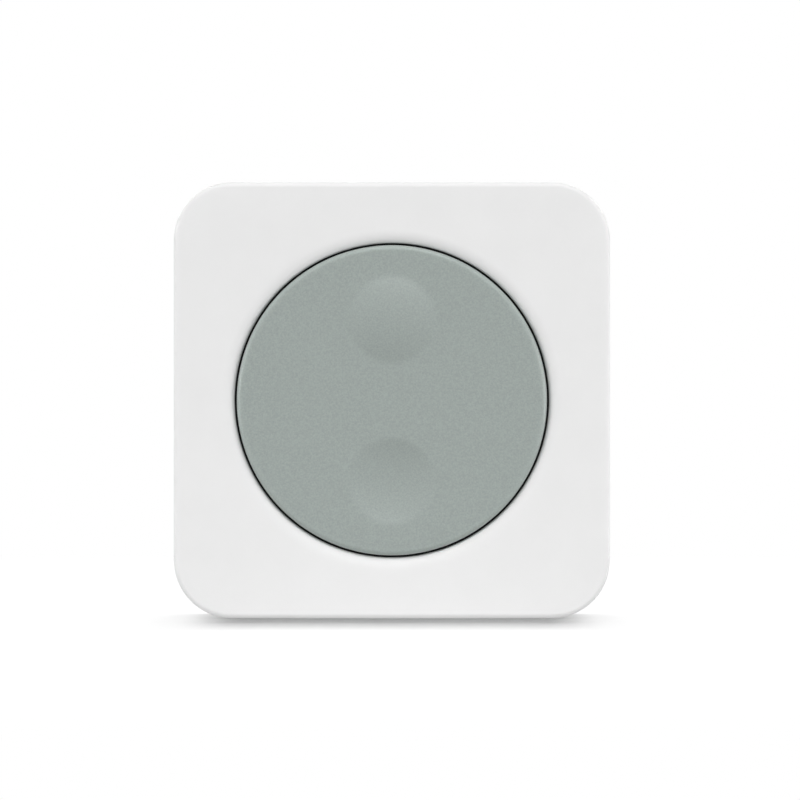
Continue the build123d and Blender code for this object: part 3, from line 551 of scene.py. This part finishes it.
lens = new_finish("lamp_lens", (0.85, 0.84, 0.74), 0.16, Transmission_Weight=0.7, IOR=1.5)
vary_gloss(lens, 0.12, 0.24, 0.3 * mm)
add_grain(lens, 0.001 * mm, 0.1 * mm)

# %% [markdown]
# ## Grey acetal
# The pairing button and the plungers are grey acetal, a slightly waxy plastic that slides well. The wax
# look comes from a little light that passes under the surface.

# %% Acetal
acetal = new_finish("grey_acetal", (0.45, 0.45, 0.46), 0.38, Subsurface_Weight=0.1, Subsurface_Scale=0.3 * mm)
vary_colour(acetal, (0.43, 0.43, 0.44), (0.47, 0.47, 0.48), 1.2 * mm)
vary_gloss(acetal, 0.32, 0.44, 1.5 * mm)
add_grain(acetal, 0.003 * mm, 0.12 * mm)

# %% [markdown]
# ## Tools for the small pieces
# Most small parts are either turned or blocks with soft edges, and a sharp edge is what makes a model
# look like one. One list of steps describes a rounded edge at the back and at the front, as an inset and
# a depth. A disc or a block is that list carried round a circle or a rounded rectangle.

# %% Discs and blocks with rounded edges
def front_edge(front, edge):
    """Insets and depths that round the front edge."""
    return [(edge * (1 - math.cos(a)), front - edge * (1 - math.sin(a))) for a in edge_steps(5)]


def soft_edges(back, front, edge):
    """Insets and depths from the back face, round both edges, to the front face."""
    back_edge = [(edge * (1 - math.sin(a)), back + edge * (1 - math.cos(a))) for a in edge_steps(5)]
    return back_edge + front_edge(front, edge)


def oblong_ring(half_x, half_z, corner, depth, spot, steps=6):
    """A rounded rectangle, corner by corner."""
    ring = []
    for quarter in range(4):
        to_x = 1 if quarter in (0, 3) else -1
        to_z = 1 if quarter in (0, 1) else -1
        middle = (spot[0] + to_x * (half_x - corner), spot[1] + to_z * (half_z - corner))
        for i in range(steps + 1):
            angle = math.pi / 2 * (quarter + i / steps)
            x = middle[0] + corner * math.cos(angle)
            ring.append(Vector((x, -depth, middle[1] + corner * math.sin(angle))))
    return ring


def add_disc(mesh, radius, steps, spot, count=96):
    skin(mesh, [round_ring(radius - inset, d, count, spot) for inset, d in steps])


least_corner = 0.02 * mm


def add_block(mesh, half_x, half_z, corner, steps, spot):
    skin(mesh, [
        oblong_ring(half_x - inset, half_z - inset, max(corner - inset, least_corner), d, spot)
        for inset, d in steps
    ])


def middle_of(node):
    low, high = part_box(node)
    return (low.x + high.x) / 2, (low.z + high.z) / 2


def half_size(node):
    low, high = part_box(node)
    return (high.x - low.x) / 2, (high.z - low.z) / 2


print("steps in a block with soft edges:", len(soft_edges(0, 1 * mm, 0.1 * mm)))

# %% [markdown]
# ## Magnets and keepers
# Four nickel-plated disc magnets in the plate pull on four zinc-plated steel discs in the housing. Both
# kinds are tumbled before plating, so their edges are round and catch a thin line of light. They differ
# only in place, edge and finish, so one loop makes both.

# %% Build the magnets and keepers
disc_radius = 4 * mm
for name, node, body, finish, slot, edge in (
    ("disc_magnets", "plate_magnets", "plate", nickel, "plated_magnet", 0.2 * mm),
    ("keeper_plates", "keeper_discs", "casing", zinc, "plated_steel", 0.12 * mm),
):
    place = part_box(node)[1].x - disc_radius
    mesh = bmesh.new()
    for sx, sz in four_ways:
        add_disc(mesh, disc_radius, soft_edges(*depths(node), edge), (sx * place, sz * place))
    finish_piece(name, mesh, body, finish, stands_for=[node])

# %% [markdown]
# ## Foam pads
# Foam tape isn't a sharp block. The cutting die rounds its two faces over, and between them the soft
# core draws in a little, which shows as a waist at the edge. A soft-body tool could find that shape, but
# a short list of insets, in shares of the pad's height, gives the same edge each time.

# %% Build the foam pads
pad_back, pad_front = depths("adhesive_pads")
pad_half_x, pad_corner = 6 * mm, 1.5 * mm
pad_half_z = half_size("adhesive_pads")[1]
pad_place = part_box("adhesive_pads")[1].x - pad_half_x
waist_shares = [(0.375, 0), (0.12, 0.04), (0, 0.15), (0.17, 0.5), (0, 0.85), (0.12, 0.96), (0.375, 1)]
pad_height = pad_front - pad_back
pad_mesh = bmesh.new()
for sx in (1, -1):
    steps = [(inset * pad_height, pad_back + d * pad_height) for inset, d in waist_shares]
    add_block(pad_mesh, pad_half_x, pad_half_z, pad_corner, steps, (sx * pad_place, 0))
finish_piece("foam_pads", pad_mesh, "plate", foam, stands_for=["adhesive_pads"])

# %% [markdown]
# ## The coin cell
# A coin cell is a drawn steel can, rolled over a plastic seal that holds the smaller negative cap. The
# roll, the dark seal and the raised cap are what tell a cell from a plain disc. All of it is turned, so
# a profile carried round the middle makes it. A shallow ring pressed in the can is its only mark here.

# %% Build the coin cell
can_back = depths("coin_cell")[0]
can_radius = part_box("coin_cell")[1].x
pressed_ring = [(5.9, 0), (6.0, 0.05), (6.3, 0.05), (6.4, 0)]
can_edge = [(9.6 + 0.4 * math.sin(a), 0.4 - 0.4 * math.cos(a)) for a in edge_steps(6)]
roll = [(10, 2.45), (9.96, 2.58), (9.84, 2.69), (9.66, 2.74), (9.45, 2.73), (9.3, 2.66), (9.25, 2.55)]
cap_of_cell = [(8.85, 2.55), (8.8, 2.75), (8.78, 2.95), (8.7, 3.1), (8.55, 3.18), (8.35, 3.2)]
cell_profile = pressed_ring + can_edge + roll + cap_of_cell
drawn_radius, cell_turns = 10, 192
cell_scale = can_radius / drawn_radius
cell_mesh = bmesh.new()
skin(cell_mesh, [round_ring(r * cell_scale, can_back + d * mm, cell_turns) for r, d in cell_profile])
finish_piece("cell_can", cell_mesh, "casing", stainless, stands_for=["coin_cell"])

seal_profile = [(9.24, 2.56), (9.22, 2.66), (9.05, 2.7), (8.86, 2.68), (8.86, 2.56)]
seal_mesh = bmesh.new()
seal_rings = [round_ring(r * cell_scale, can_back + d * mm, cell_turns) for r, d in seal_profile]
skin(seal_mesh, seal_rings, loop=True)
finish_piece("cell_seal", seal_mesh, "casing", black_plastic)

# %% [markdown]
# ## The chip
# The microcontroller sits flat on the board, with a row of tinned pads showing under each side. The top
# edge of the black body is rounded by the mould. Painted pads would do from far away, but close up only
# real ones have the small shadows of a part that is soldered on.

# %% Build the chip and its pads
chip_back, chip_front = depths("microcontroller")
chip_half = half_size("microcontroller")[0]
chip_spot = middle_of("microcontroller")
chip_edge, chip_corner = 0.1 * mm, 0.15 * mm
chip_mesh = bmesh.new()
chip_steps = [(0, chip_back)] + front_edge(chip_front, chip_edge)
add_block(chip_mesh, chip_half, chip_half, chip_corner, chip_steps, chip_spot)
finish_piece("chip_body", chip_mesh, "casing", epoxy, stands_for=["microcontroller"])

pads_per_side, pad_pitch = 8, 0.6 * mm
lead_half, lead_reach = 0.12 * mm, 0.25 * mm
lead_height, lead_corner, lead_out = 0.2 * mm, 0.03 * mm, 0.03 * mm
lead_steps = soft_edges(chip_back, chip_back + lead_height, lead_corner)
lead_mesh = bmesh.new()
for i in range(pads_per_side):
    along = (i - (pads_per_side - 1) / 2) * pad_pitch
    for side in (1, -1):
        edge_place = side * (chip_half - lead_reach + lead_out)
        x, z = chip_spot
        add_block(lead_mesh, lead_reach, lead_half, lead_corner, lead_steps, (x + edge_place, z + along))
        add_block(lead_mesh, lead_half, lead_reach, lead_corner, lead_steps, (x + along, z + edge_place))
finish_piece("chip_pads", lead_mesh, "casing", tin)

# %% [markdown]
# ## Resistors and capacitors
# Each is a small ceramic brick between two tinned ends that stand a hair prouder than the brick. Six
# stand in a column beside the chip and six in a row below the shield. Two meshes, one for each material,
# are easier to handle than twelve objects.

# %% Build the small parts
part_low, part_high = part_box("passive_parts")
part_back, part_front = depths("passive_parts")
part_long, part_short, part_edge, part_corner = 0.5 * mm, 0.25 * mm, 0.04 * mm, 0.05 * mm
part_count, pitch_in_mm = 6, 1.7
part_pitch = pitch_in_mm * mm
end_long, proud = 0.12 * mm, 0.02 * mm
row_half = part_pitch * (part_count - 1) / 2
column_x = part_high.x - part_long
row_x = part_low.x + row_half + part_short
row_z = part_low.z + part_long
brick_mesh = bmesh.new()
ends_mesh = bmesh.new()
brick_steps = soft_edges(part_back, part_front - proud, part_edge)
end_steps = soft_edges(part_back, part_front, part_edge)
for i in range(part_count):
    step = i * part_pitch - row_half
    for spot, flat in (((column_x, step), True), ((row_x + step, row_z), False)):
        half_x, half_z = (part_long, part_short) if flat else (part_short, part_long)
        add_block(brick_mesh, half_x - proud, half_z - proud, part_corner, brick_steps, spot)
        for side in (1, -1):
            reach = side * (part_long - end_long)
            end_spot = (spot[0] + reach, spot[1]) if flat else (spot[0], spot[1] + reach)
            half = (end_long, part_short) if flat else (part_short, end_long)
            add_block(ends_mesh, *half, part_corner, end_steps, end_spot)
finish_piece(
    "ceramic_bricks", brick_mesh, "casing", ceramic, stands_for=["passive_parts"]
)
finish_piece("tinned_ends", ends_mesh, "casing", tin)

# %% [markdown]
# ## The radio shield and the crystal
# The shield is a folded tin lid over the radio. A fold can't be sharp, so its top edge is round, and a
# shallow panel is pressed into it to stiffen it. The crystal is a smaller can welded to a flange. Each is
# a list of steps carried round, and the shield's starts inside, so that its sheet has a thickness.

# %% Build the shield and the crystal
shield_back, shield_front = depths("radio_shield")
shield_half = half_size("radio_shield")
sheet, fold, shield_corner = 0.2 * mm, 0.35 * mm, 1.2 * mm
panel = [(0.9, 0), (0.98, 0.08), (1.1, 0.1)]
shield_steps = [
    (fold, shield_front - sheet), (sheet, shield_front - fold), (sheet, shield_back), (0, shield_back),
]
shield_steps += front_edge(shield_front, fold)
shield_steps += [(inset * mm, shield_front - d * mm) for inset, d in panel]
shield_mesh = bmesh.new()
add_block(shield_mesh, *shield_half, shield_corner, shield_steps, middle_of("radio_shield"))
finish_piece("shield_lid", shield_mesh, "casing", tin, stands_for=["radio_shield"])

crystal_back, crystal_front = depths("crystal")
flange, flange_bend, crystal_edge, crystal_corner = 0.15 * mm, 1.2, 0.15 * mm, 0.5 * mm
crystal_steps = [
    (0, crystal_back), (0, crystal_back + flange), (flange, crystal_back + flange * flange_bend),
]
crystal_steps += [(flange + inset, d) for inset, d in front_edge(crystal_front, crystal_edge)]
crystal_mesh = bmesh.new()
add_block(crystal_mesh, *half_size("crystal"), crystal_corner, crystal_steps, middle_of("crystal"))
finish_piece("crystal_can", crystal_mesh, "casing", tin, stands_for=["crystal"])

# %% [markdown]
# ## Pairing button and lamp
# The pairing button sits in a hole at the back, hollowed so that a pin or a nail finds it. Beside it is a
# small lamp with a clear, softly rounded lens. The button is round, so a profile carried round makes it.
# The lens is a cast oblong, so it is a block.

# %% Build the pairing button and the lamp
key_back, key_front = depths("pairing_button")
key_spot = middle_of("pairing_button")
key_profile = [(0.3, 0.2), (0.7, 0.17), (1.05, 0.08), (1.25, 0.01), (1.35, 0), (1.45, 0.04), (1.5, 0.13)]
stem, flange_place, flange_thick = 1.5 * mm, 1.25 * mm, 0.5 * mm
flange_back = key_back + flange_place
flange_front = flange_back + flange_thick
key_radius = half_size("pairing_button")[0]
key_rings = [round_ring(r * mm, key_back + d * mm, 64, key_spot) for r, d in key_profile]
key_rings += [round_ring(r, flange_back, 64, key_spot) for r in (stem, key_radius)]
key_rings += [round_ring(r, flange_front, 64, key_spot) for r in (key_radius, stem)]
key_rings += [round_ring(stem, key_front, 64, key_spot)]
key_mesh = bmesh.new()
skin(key_mesh, key_rings)
finish_piece(
    "pairing_key", key_mesh, "pairing_key", acetal, stands_for=["pairing_button"]
)

lens_edge, lens_corner = 0.2 * mm, 0.25 * mm
lens_mesh = bmesh.new()
lens_steps = soft_edges(*depths("status_led"), lens_edge)
add_block(lens_mesh, *half_size("status_led"), lens_corner, lens_steps, middle_of("status_led"))
finish_piece("lamp_lens", lens_mesh, "casing", lens, stands_for=["status_led"])

# %% [markdown]
# ## Snap domes
# Under each plunger a thin sprung dome gives the click. Its rim stays on the floor of the switch while
# its top goes down with the plunger, so neither body can carry all of it, and the piece rides on no body.

# %% Build the snap domes
sides = ("upper", "lower")
dome_sheet, dome_turns = 0.08 * mm, 96
dome_shares = [0.01] + [i / 16 for i in range(1, 17)]


def dome_skin(node, under):
    """Rings from the middle of a dome to its rim, at that depth under its outer face."""
    rim, top = depths(node)
    radius = half_size(node)[0]
    ball = (radius**2 + (top - rim) ** 2) / (2 * (top - rim))
    rings = []
    for share in dome_shares:
        r = share * (radius - under)
        depth = top - ball + math.sqrt((ball - under) ** 2 - r * r)
        rings.append(round_ring(r, max(depth, rim), dome_turns, middle_of(node)))
    return rings


for side in sides:
    dome = f"{side}_dome"
    dome_mesh = bmesh.new()
    skin(dome_mesh, dome_skin(dome, dome_sheet) + dome_skin(dome, 0)[::-1])
    piece = finish_piece(f"{side}_snap_dome", dome_mesh, None, tin, stands_for=[dome])
    x, z = middle_of(dome)
    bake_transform(piece)

# %% [markdown]
# ## Plated rings on the board
# Round each screw hole the board has a ring of bare gold-flashed copper on both faces. Paint on the
# board could show it, but a thin ring of its own has a true metal edge.

# %% Build the plated rings
board_back, board_front = depths("circuit_board")
film, board_screw_head = 0.03 * mm, 1.5 * mm
hole_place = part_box("board_screws")[1].x - board_screw_head
ring_mesh = bmesh.new()
for sx, sz in four_ways:
    spot = (sx * hole_place, sz * hole_place)
    for inner, outer, near, far in (
        (1.35 * mm, 1.9 * mm, board_front, board_front + film),
        (1.55 * mm, 2.1 * mm, board_back - film, board_back),
    ):
        profile = ((inner, near), (outer, near), (outer, far), (inner, far))
        skin(ring_mesh, [round_ring(r, d, 64, spot) for r, d in profile], loop=True)
finish_piece("board_rings", ring_mesh, "casing", gold_flash)

# %% [markdown]
# ## Copper runs
# The runs on a board turn by 45 degrees and end in small plated holes. Each run is a list of places in
# millimetres, which one function turns into a low ridge with mitred corners, sloped where the mask laps
# over the copper. They join real neighbours: the chip to the shield, the key switches to the chip, the
# shield to the antenna. The antenna's own end of the board stays clear of other copper. A drawing on the
# board would be quicker, but ridges catch the light and are part of the mesh.

# %% A tool for runs
def add_run(mesh, points, wide, base, top):
    """A low ridge through places given as x and z in millimetres."""
    rings = []
    steps = [(Vector(b) - Vector(a)).normalized() for a, b in zip(points, points[1:])]
    for i, point in enumerate(points):
        before, after = steps[max(i - 1, 0)], steps[min(i, len(steps) - 1)]
        along = (before + after).normalized()
        side = Vector((-along.y, along.x)) * wide / 2 / along.dot(before)
        ring = []
        for share, depth in ((1, base), (0.8, top), (-0.8, top), (-1, base)):
            x, z = Vector(point) + side * share
            ring.append(Vector((x * mm, -depth, z * mm)))
        rings.append(ring)
    skin(mesh, rings)


run_width, back_run_width, feed_width, supply_width, ink_width = 0.25, 0.3, 0.6, 1.2, 0.15
print("run widths in mm:", run_width, back_run_width, feed_width, supply_width)

# %% Places of the runs, in millimetres
front_runs = [[(4.5, z), (-4.6, z)] for z in (-1.5, -0.9, -0.3, 0.3, 0.9, 1.5)]
front_runs += [[(10.9, z), (11.2, z)] for z in (-0.9, 0.9)]
vias = []
for up in (1, -1):
    front_runs += [
        [(4.4, 10.1 * up), (4.9, 10.1 * up), (5.7, 9.3 * up), (5.7, 3.1 * up)],
        [(4.4, 14.1 * up), (5.4, 14.1 * up), (9.9, 9.6 * up), (9.9, 3.1 * up)],
        [(-4.4, 14.1 * up), (-5.4, 14.1 * up), (-6.4, 15.1 * up)],
    ]
    vias += [(-6.4, 15.1 * up)]
front_runs += [
    [(-4.4, 10.1), (-5.3, 10.1), (-6.2, 9.2), (-6.2, 5.6)], [(-4.4, -10.1), (-5.05, -9.45), (-5.05, -6.95)],
    [(-11.4, 2), (-13, 2), (-15.5, 4.5), (-15.5, 12)],
    [(-11.4, 1.2), (-13.4, 1.2), (-16.3, 4.1), (-16.3, 12)],
    [(-4.2, 25.5), (-4.2, 23.8)], [(7.5, 3.1), (7.5, 3.4)], [(8.1, 3.1), (8.1, 3.4)],
]
vias += [(-15.5, 12), (-16.3, 12), (-4.2, 23.8)]
column_start, column_end, row_x_mm, row_start, row_end = 12.2, 13.4, -9.3, -6.9, -8.1
for i in range(part_count):
    step = (i - (part_count - 1) / 2) * pitch_in_mm
    front_runs.append([(column_start, step), (column_end, step)])
    vias.append((column_end, step))
    if i < part_count - 1:
        front_runs.append([(row_x_mm + step, row_start), (row_x_mm + step, row_end)])
        vias.append((row_x_mm + step, row_end))
edge, edge_end, edge_pitch = 27.4, 19, 3.8
edge_runs = [[(edge * side, -edge_end), (edge * side, edge_end)] for side in (1, -1)]
edge_runs += [[(-edge_end, -edge), (edge_end, -edge)]]
vias += [(edge * side, z * edge_pitch) for side in (1, -1) for z in range(-5, 6)]
vias += [(x * edge_pitch, -edge) for x in range(-5, 6)]
back_runs = [
    [(6.2, 19.7), (1.8, 19.7)], [(7.8, 19.7), (9.5, 19.7), (10.5, 18.7), (10.5, 14)],
    [(-1.8, 19.7), (-4, 19.7), (-5.4, 18.3), (-5.4, 14)],
]
print("runs:", len(front_runs + edge_runs + back_runs + edge_runs), "plated holes:", len(vias))

# %% Build the runs and the plated holes
run_mesh = bmesh.new()
front_side, back_side = (board_front, board_front + film), (board_back, board_back - film)
for run in front_runs + edge_runs:
    add_run(run_mesh, run, run_width, *front_side)
for run in back_runs + edge_runs:
    add_run(run_mesh, run, back_run_width, *back_side)
add_run(run_mesh, [(-8.7, 5.6), (-8.7, 25.5)], feed_width, *front_side)
add_run(run_mesh, [(0, 12.5), (0, 17.8)], supply_width, *back_side)
hole, land = 0.15 * mm, 0.32 * mm
for x, z in vias:
    for near, far in (front_side, (board_back - film, board_back)):
        profile = ((hole, near), (land, near), (land, far), (hole, far))
        skin(run_mesh, [round_ring(r, d, 24, (x * mm, z * mm)) for r, d in profile], loop=True)
finish_piece("board_tracks", run_mesh, "casing", masked_copper)

# %% [markdown]
# ## Printed outlines
# White ink shows where the parts belong: a line round the chip and the shield, one at each end of the
# switches, and a dot at the chip's first corner. An image could carry it, but the tool for runs is at
# hand and keeps the edges sharp.

# %% Print the outlines
ink_top = board_front + film * 1.3
chip_and_shield = [(7.8, 0, 3.4, 3.4), (-8.1, 0, 3.65, 5.8)]
ink_lines = [[(x - w, z - h), (x + w, z - h), (x + w, z + h), (x - w, z + h), (x - w, z - h)]
             for x, z, w, h in chip_and_shield]
switch_edges = (8.75, 15.45)
ink_lines += [[(-3.1, up * z), (3.1, up * z)] for up in (1, -1) for z in switch_edges]
ink_mesh = bmesh.new()
for line in ink_lines:
    add_run(ink_mesh, line, ink_width, board_front, ink_top)
first_corner, dot = (4 * mm, 3.9 * mm), 0.3 * mm
add_disc(ink_mesh, dot, [(0, board_front), (0, ink_top)], first_corner, 32)
finish_piece("printed_lines", ink_mesh, "casing", ink)

# %% [markdown]
# ## Each piece gets its finish
# The pieces that keep the solid model's shape are listed under the finish of their real material. They
# could be set one by one, but a list is easy to check, and the last line names what is left.

# %% Give the finishes to the pieces
finishes = [
    (white_plastic, ["rear_housing", "wall_plate", "battery_door"]),
    (black_plastic, ["chassis", "rocker_frame", "cell_holder", "pairing_switch"]),
    (black_plastic, [f"{s}_switch_base" for s in sides]),
    (screw_zinc, ["housing_screws", "board_screws", "pivot_pins"]),
    (gold_flash, ["cell_contact_negative", "cell_contact_positive", "antenna"]),
    (gold_flash, [f"{s}_switch_terminals" for s in sides]),
    (tin, [f"{s}_switch_cover" for s in sides]),
    (laminate, ["circuit_board"]),
    (acetal, ["pairing_plunger"] + [f"{s}_plunger" for s in sides]),
]
for finish, names in finishes:
    for name in names:
        nodes[name].data.materials.clear()
        nodes[name].data.materials.append(finish)
        finished.add(name)
print("pieces with a finish:", len(finished), "of", len(nodes), "left:", sorted(set(nodes) - finished))

# %% [markdown]
# ## Camera
# A long lens straight in front, at the height of the button's middle, keeps the sides of the frame from
# showing. The picture is 800 pixels square and the frame spans 435.7 of them, which sets how much the
# view takes in. The button sits a little to the left of the picture's middle.

# %% Place the camera
picture_span = 119.13 * mm
camera_distance, sensor_width = 0.65, 36
to_the_right, above = 1.21 * mm, 0.04 * mm
camera = into_scene("camera", bpy.data.cameras.new("camera"))
camera.data.sensor_width = sensor_width
camera.data.lens = sensor_width * camera_distance / picture_span
camera.location = (to_the_right, -cover_front - camera_distance, above)
camera.rotation_euler = (math.pi / 2, 0, 0)
bpy.context.scene.camera = camera
print("lens", round(camera.data.lens, 1), "mm")

# %% [markdown]
# ## Floor and background
# The button stands on a white table that melts into a white background, with one soft shadow at its
# foot. A plain lit floor would turn grey or clip, so Light Path splits it in two. The camera and the
# reflections see a matt floor, which ambient occlusion darkens close to the button, and which turns into
# plain white far away and, for the most part, beside the button. All other rays meet a floor that glows
# in three bands, at the foot, near and far: that is the light which the table throws back.

# %% Tools for the floor
def combine(tree, operation, first, second=None):
    """A Math node on one value or on two."""
    node = tree.nodes.new("ShaderNodeMath")
    node.operation = operation
    tree.links.new(first, node.inputs[0])
    if second:
        tree.links.new(second, node.inputs[1])
    return node.outputs[0]


def mix_shaders(tree, share, first, second):
    node = tree.nodes.new("ShaderNodeMixShader")
    for i, source in enumerate((share, first, second)):
        tree.links.new(source, node.inputs[i])
    return node.outputs[0]


def seen_directly(tree):
    """1 for camera, glossy and transmission rays, else 0."""
    path = tree.nodes.new("ShaderNodeLightPath")
    seen = combine(tree, "MAXIMUM", path.outputs["Is Camera Ray"], path.outputs["Is Glossy Ray"])
    return combine(tree, "MAXIMUM", seen, path.outputs["Is Transmission Ray"])


print("tools: a maths node, a shader mix and a test for rays")

# %% Mix the floor's material
foot_band, near_band, far_band = (0.03, 0.06, 0.2), (0.05, 0.3, 0.13), (0.5, 3.0, 0.38)
foot_reach, foot_shade, air_in_corner = 0.016, 0.56, 0.5
full_half_width, end_half_width, shadow_at_sides = 22 * mm, 32 * mm, 0.1
melt_start, melt_end = 0.06, 0.25

floor_material = bpy.data.materials.new("white_floor")
floor_material.use_nodes = True
tree = floor_material.node_tree
tree.nodes.clear()
place = tree.nodes.new("ShaderNodeTexCoord").outputs["Object"]
away = vector_math(tree, "LENGTH", place).outputs["Value"]

bands = [
    remap(tree, away, start, end, level, 0, smooth=True)
    for start, end, level in (foot_band, near_band, far_band)
]
bounced = tree.nodes.new("ShaderNodeEmission")
total = combine(tree, "ADD", combine(tree, "ADD", bands[0], bands[1]), bands[2])
tree.links.new(total, bounced.inputs["Strength"])

open_air = tree.nodes.new("ShaderNodeAmbientOcclusion")
open_air.inputs["Distance"].default_value = foot_reach
matt = tree.nodes.new("ShaderNodeBsdfDiffuse")
tree.links.new(remap(tree, open_air.outputs["AO"], air_in_corner, 1, foot_shade, 1), matt.inputs["Color"])

split = tree.nodes.new("ShaderNodeSeparateXYZ")
tree.links.new(place, split.inputs[0])
aside = combine(tree, "ABSOLUTE", split.outputs["X"])
side_fade = remap(tree, aside, full_half_width, end_half_width, 0, 1 - shadow_at_sides, smooth=True)
far_fade = remap(tree, away, melt_start, melt_end, 0, 1, smooth=True)
paper = tree.nodes.new("ShaderNodeEmission")
fade = combine(tree, "MAXIMUM", side_fade, far_fade)
melted = mix_shaders(tree, fade, matt.outputs[0], paper.outputs[0])

output = tree.nodes.new("ShaderNodeOutputMaterial")
tree.links.new(mix_shaders(tree, seen_directly(tree), bounced.outputs[0], melted), output.inputs["Surface"])
print("nodes in the floor's material:", len(tree.nodes))

# %% Lay the floor and light the world
floor_size = 3.0
floor_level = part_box("front_cover")[0].z
corners = [(x * floor_size, y * floor_size, floor_level) for x, y in ((-1, -1), (1, -1), (1, 1), (-1, 1))]
floor_data = bpy.data.meshes.new("floor")
floor_data.from_pydata(corners, [], [(0, 1, 2, 3)])
floor = into_scene("floor", floor_data)
floor_data.materials.append(floor_material)

sky_light = 0.36
world = bpy.data.worlds.new("studio")
world.use_nodes = True
tree = world.node_tree
backdrop = tree.nodes["Background"]
backdrop.inputs["Color"].default_value = (1, 1, 1, 1)
tree.links.new(remap(tree, seen_directly(tree), 0, 1, sky_light, 1), backdrop.inputs["Strength"])
bpy.context.scene.world = world
print("floor at", round(floor_level / mm, 2), "mm, sky light", sky_light)

# %% [markdown]
# ## Lamps
# The light is that of a small product table. A large soft key stands high in front and shapes the bump
# and the dimple, and a smaller lamp hangs overhead. A pair at each side lights the edges and the lip, and
# one behind lights the back, for other views. Light linking keeps these off the floor, whose shadow needs
# a light of its own: two small lamps behind the button light nothing but the floor, so the shadow falls
# forward as a thin soft band.
# A lamp's level is given as the light that a white card facing it would send back, where 1 is white.

# %% Hang the lamps
only_floor = bpy.data.collections.new("only_floor")
only_floor.objects.link(floor)
all_but_floor = bpy.data.collections.new("all_but_floor")
all_but_floor.objects.link(floor)
all_but_floor.collection_objects[0].light_linking.link_state = "EXCLUDE"


def soft_lamp(name, place, size, level, lights=all_but_floor, depth=None):
    data = bpy.data.lights.new(name, "AREA")
    data.shape = "RECTANGLE"
    data.size = size
    data.size_y = depth or size
    place = Vector(place)
    data.energy = level * math.pi**2 * place.length_squared
    lamp = into_scene(name, data)
    lamp.location = place
    lamp.rotation_euler = (-place).to_track_quat("-Z", "Y").to_euler()
    lamp.visible_camera = False
    lamp.light_linking.receiver_collection = lights
    print("lamp:", name, "level", level)


soft_lamp("key", (0.3, -2.14, 2.38), 2.0, 0.33)
soft_lamp("overhead", (0, -0.5, 1.5), 1.0, 0.2)
soft_lamp("left", (-1.0, -0.3, 0.02), 0.6, 0.4)
soft_lamp("right", (1.0, -0.3, 0.02), 0.6, 0.42)
soft_lamp("left_front", (-1.0, -0.6, 0.02), 0.35, 0.32)
soft_lamp("right_front", (1.0, -0.6, 0.02), 0.35, 0.32)
soft_lamp("back", (0, 1.2, 0.3), 0.8, 0.5)
soft_lamp("floor_lamp", (0.01, 0.24, 0.68), 0.12, 1.0, lights=only_floor, depth=0.3)
soft_lamp("floor_back", (0, 0.6, 0.5), 0.12, 0.3, lights=only_floor)

# %% [markdown]
# ## The view
# The colours go to the picture as they are, with no film look.

# %% Set the view
bpy.context.scene.view_settings.view_transform = "Standard"
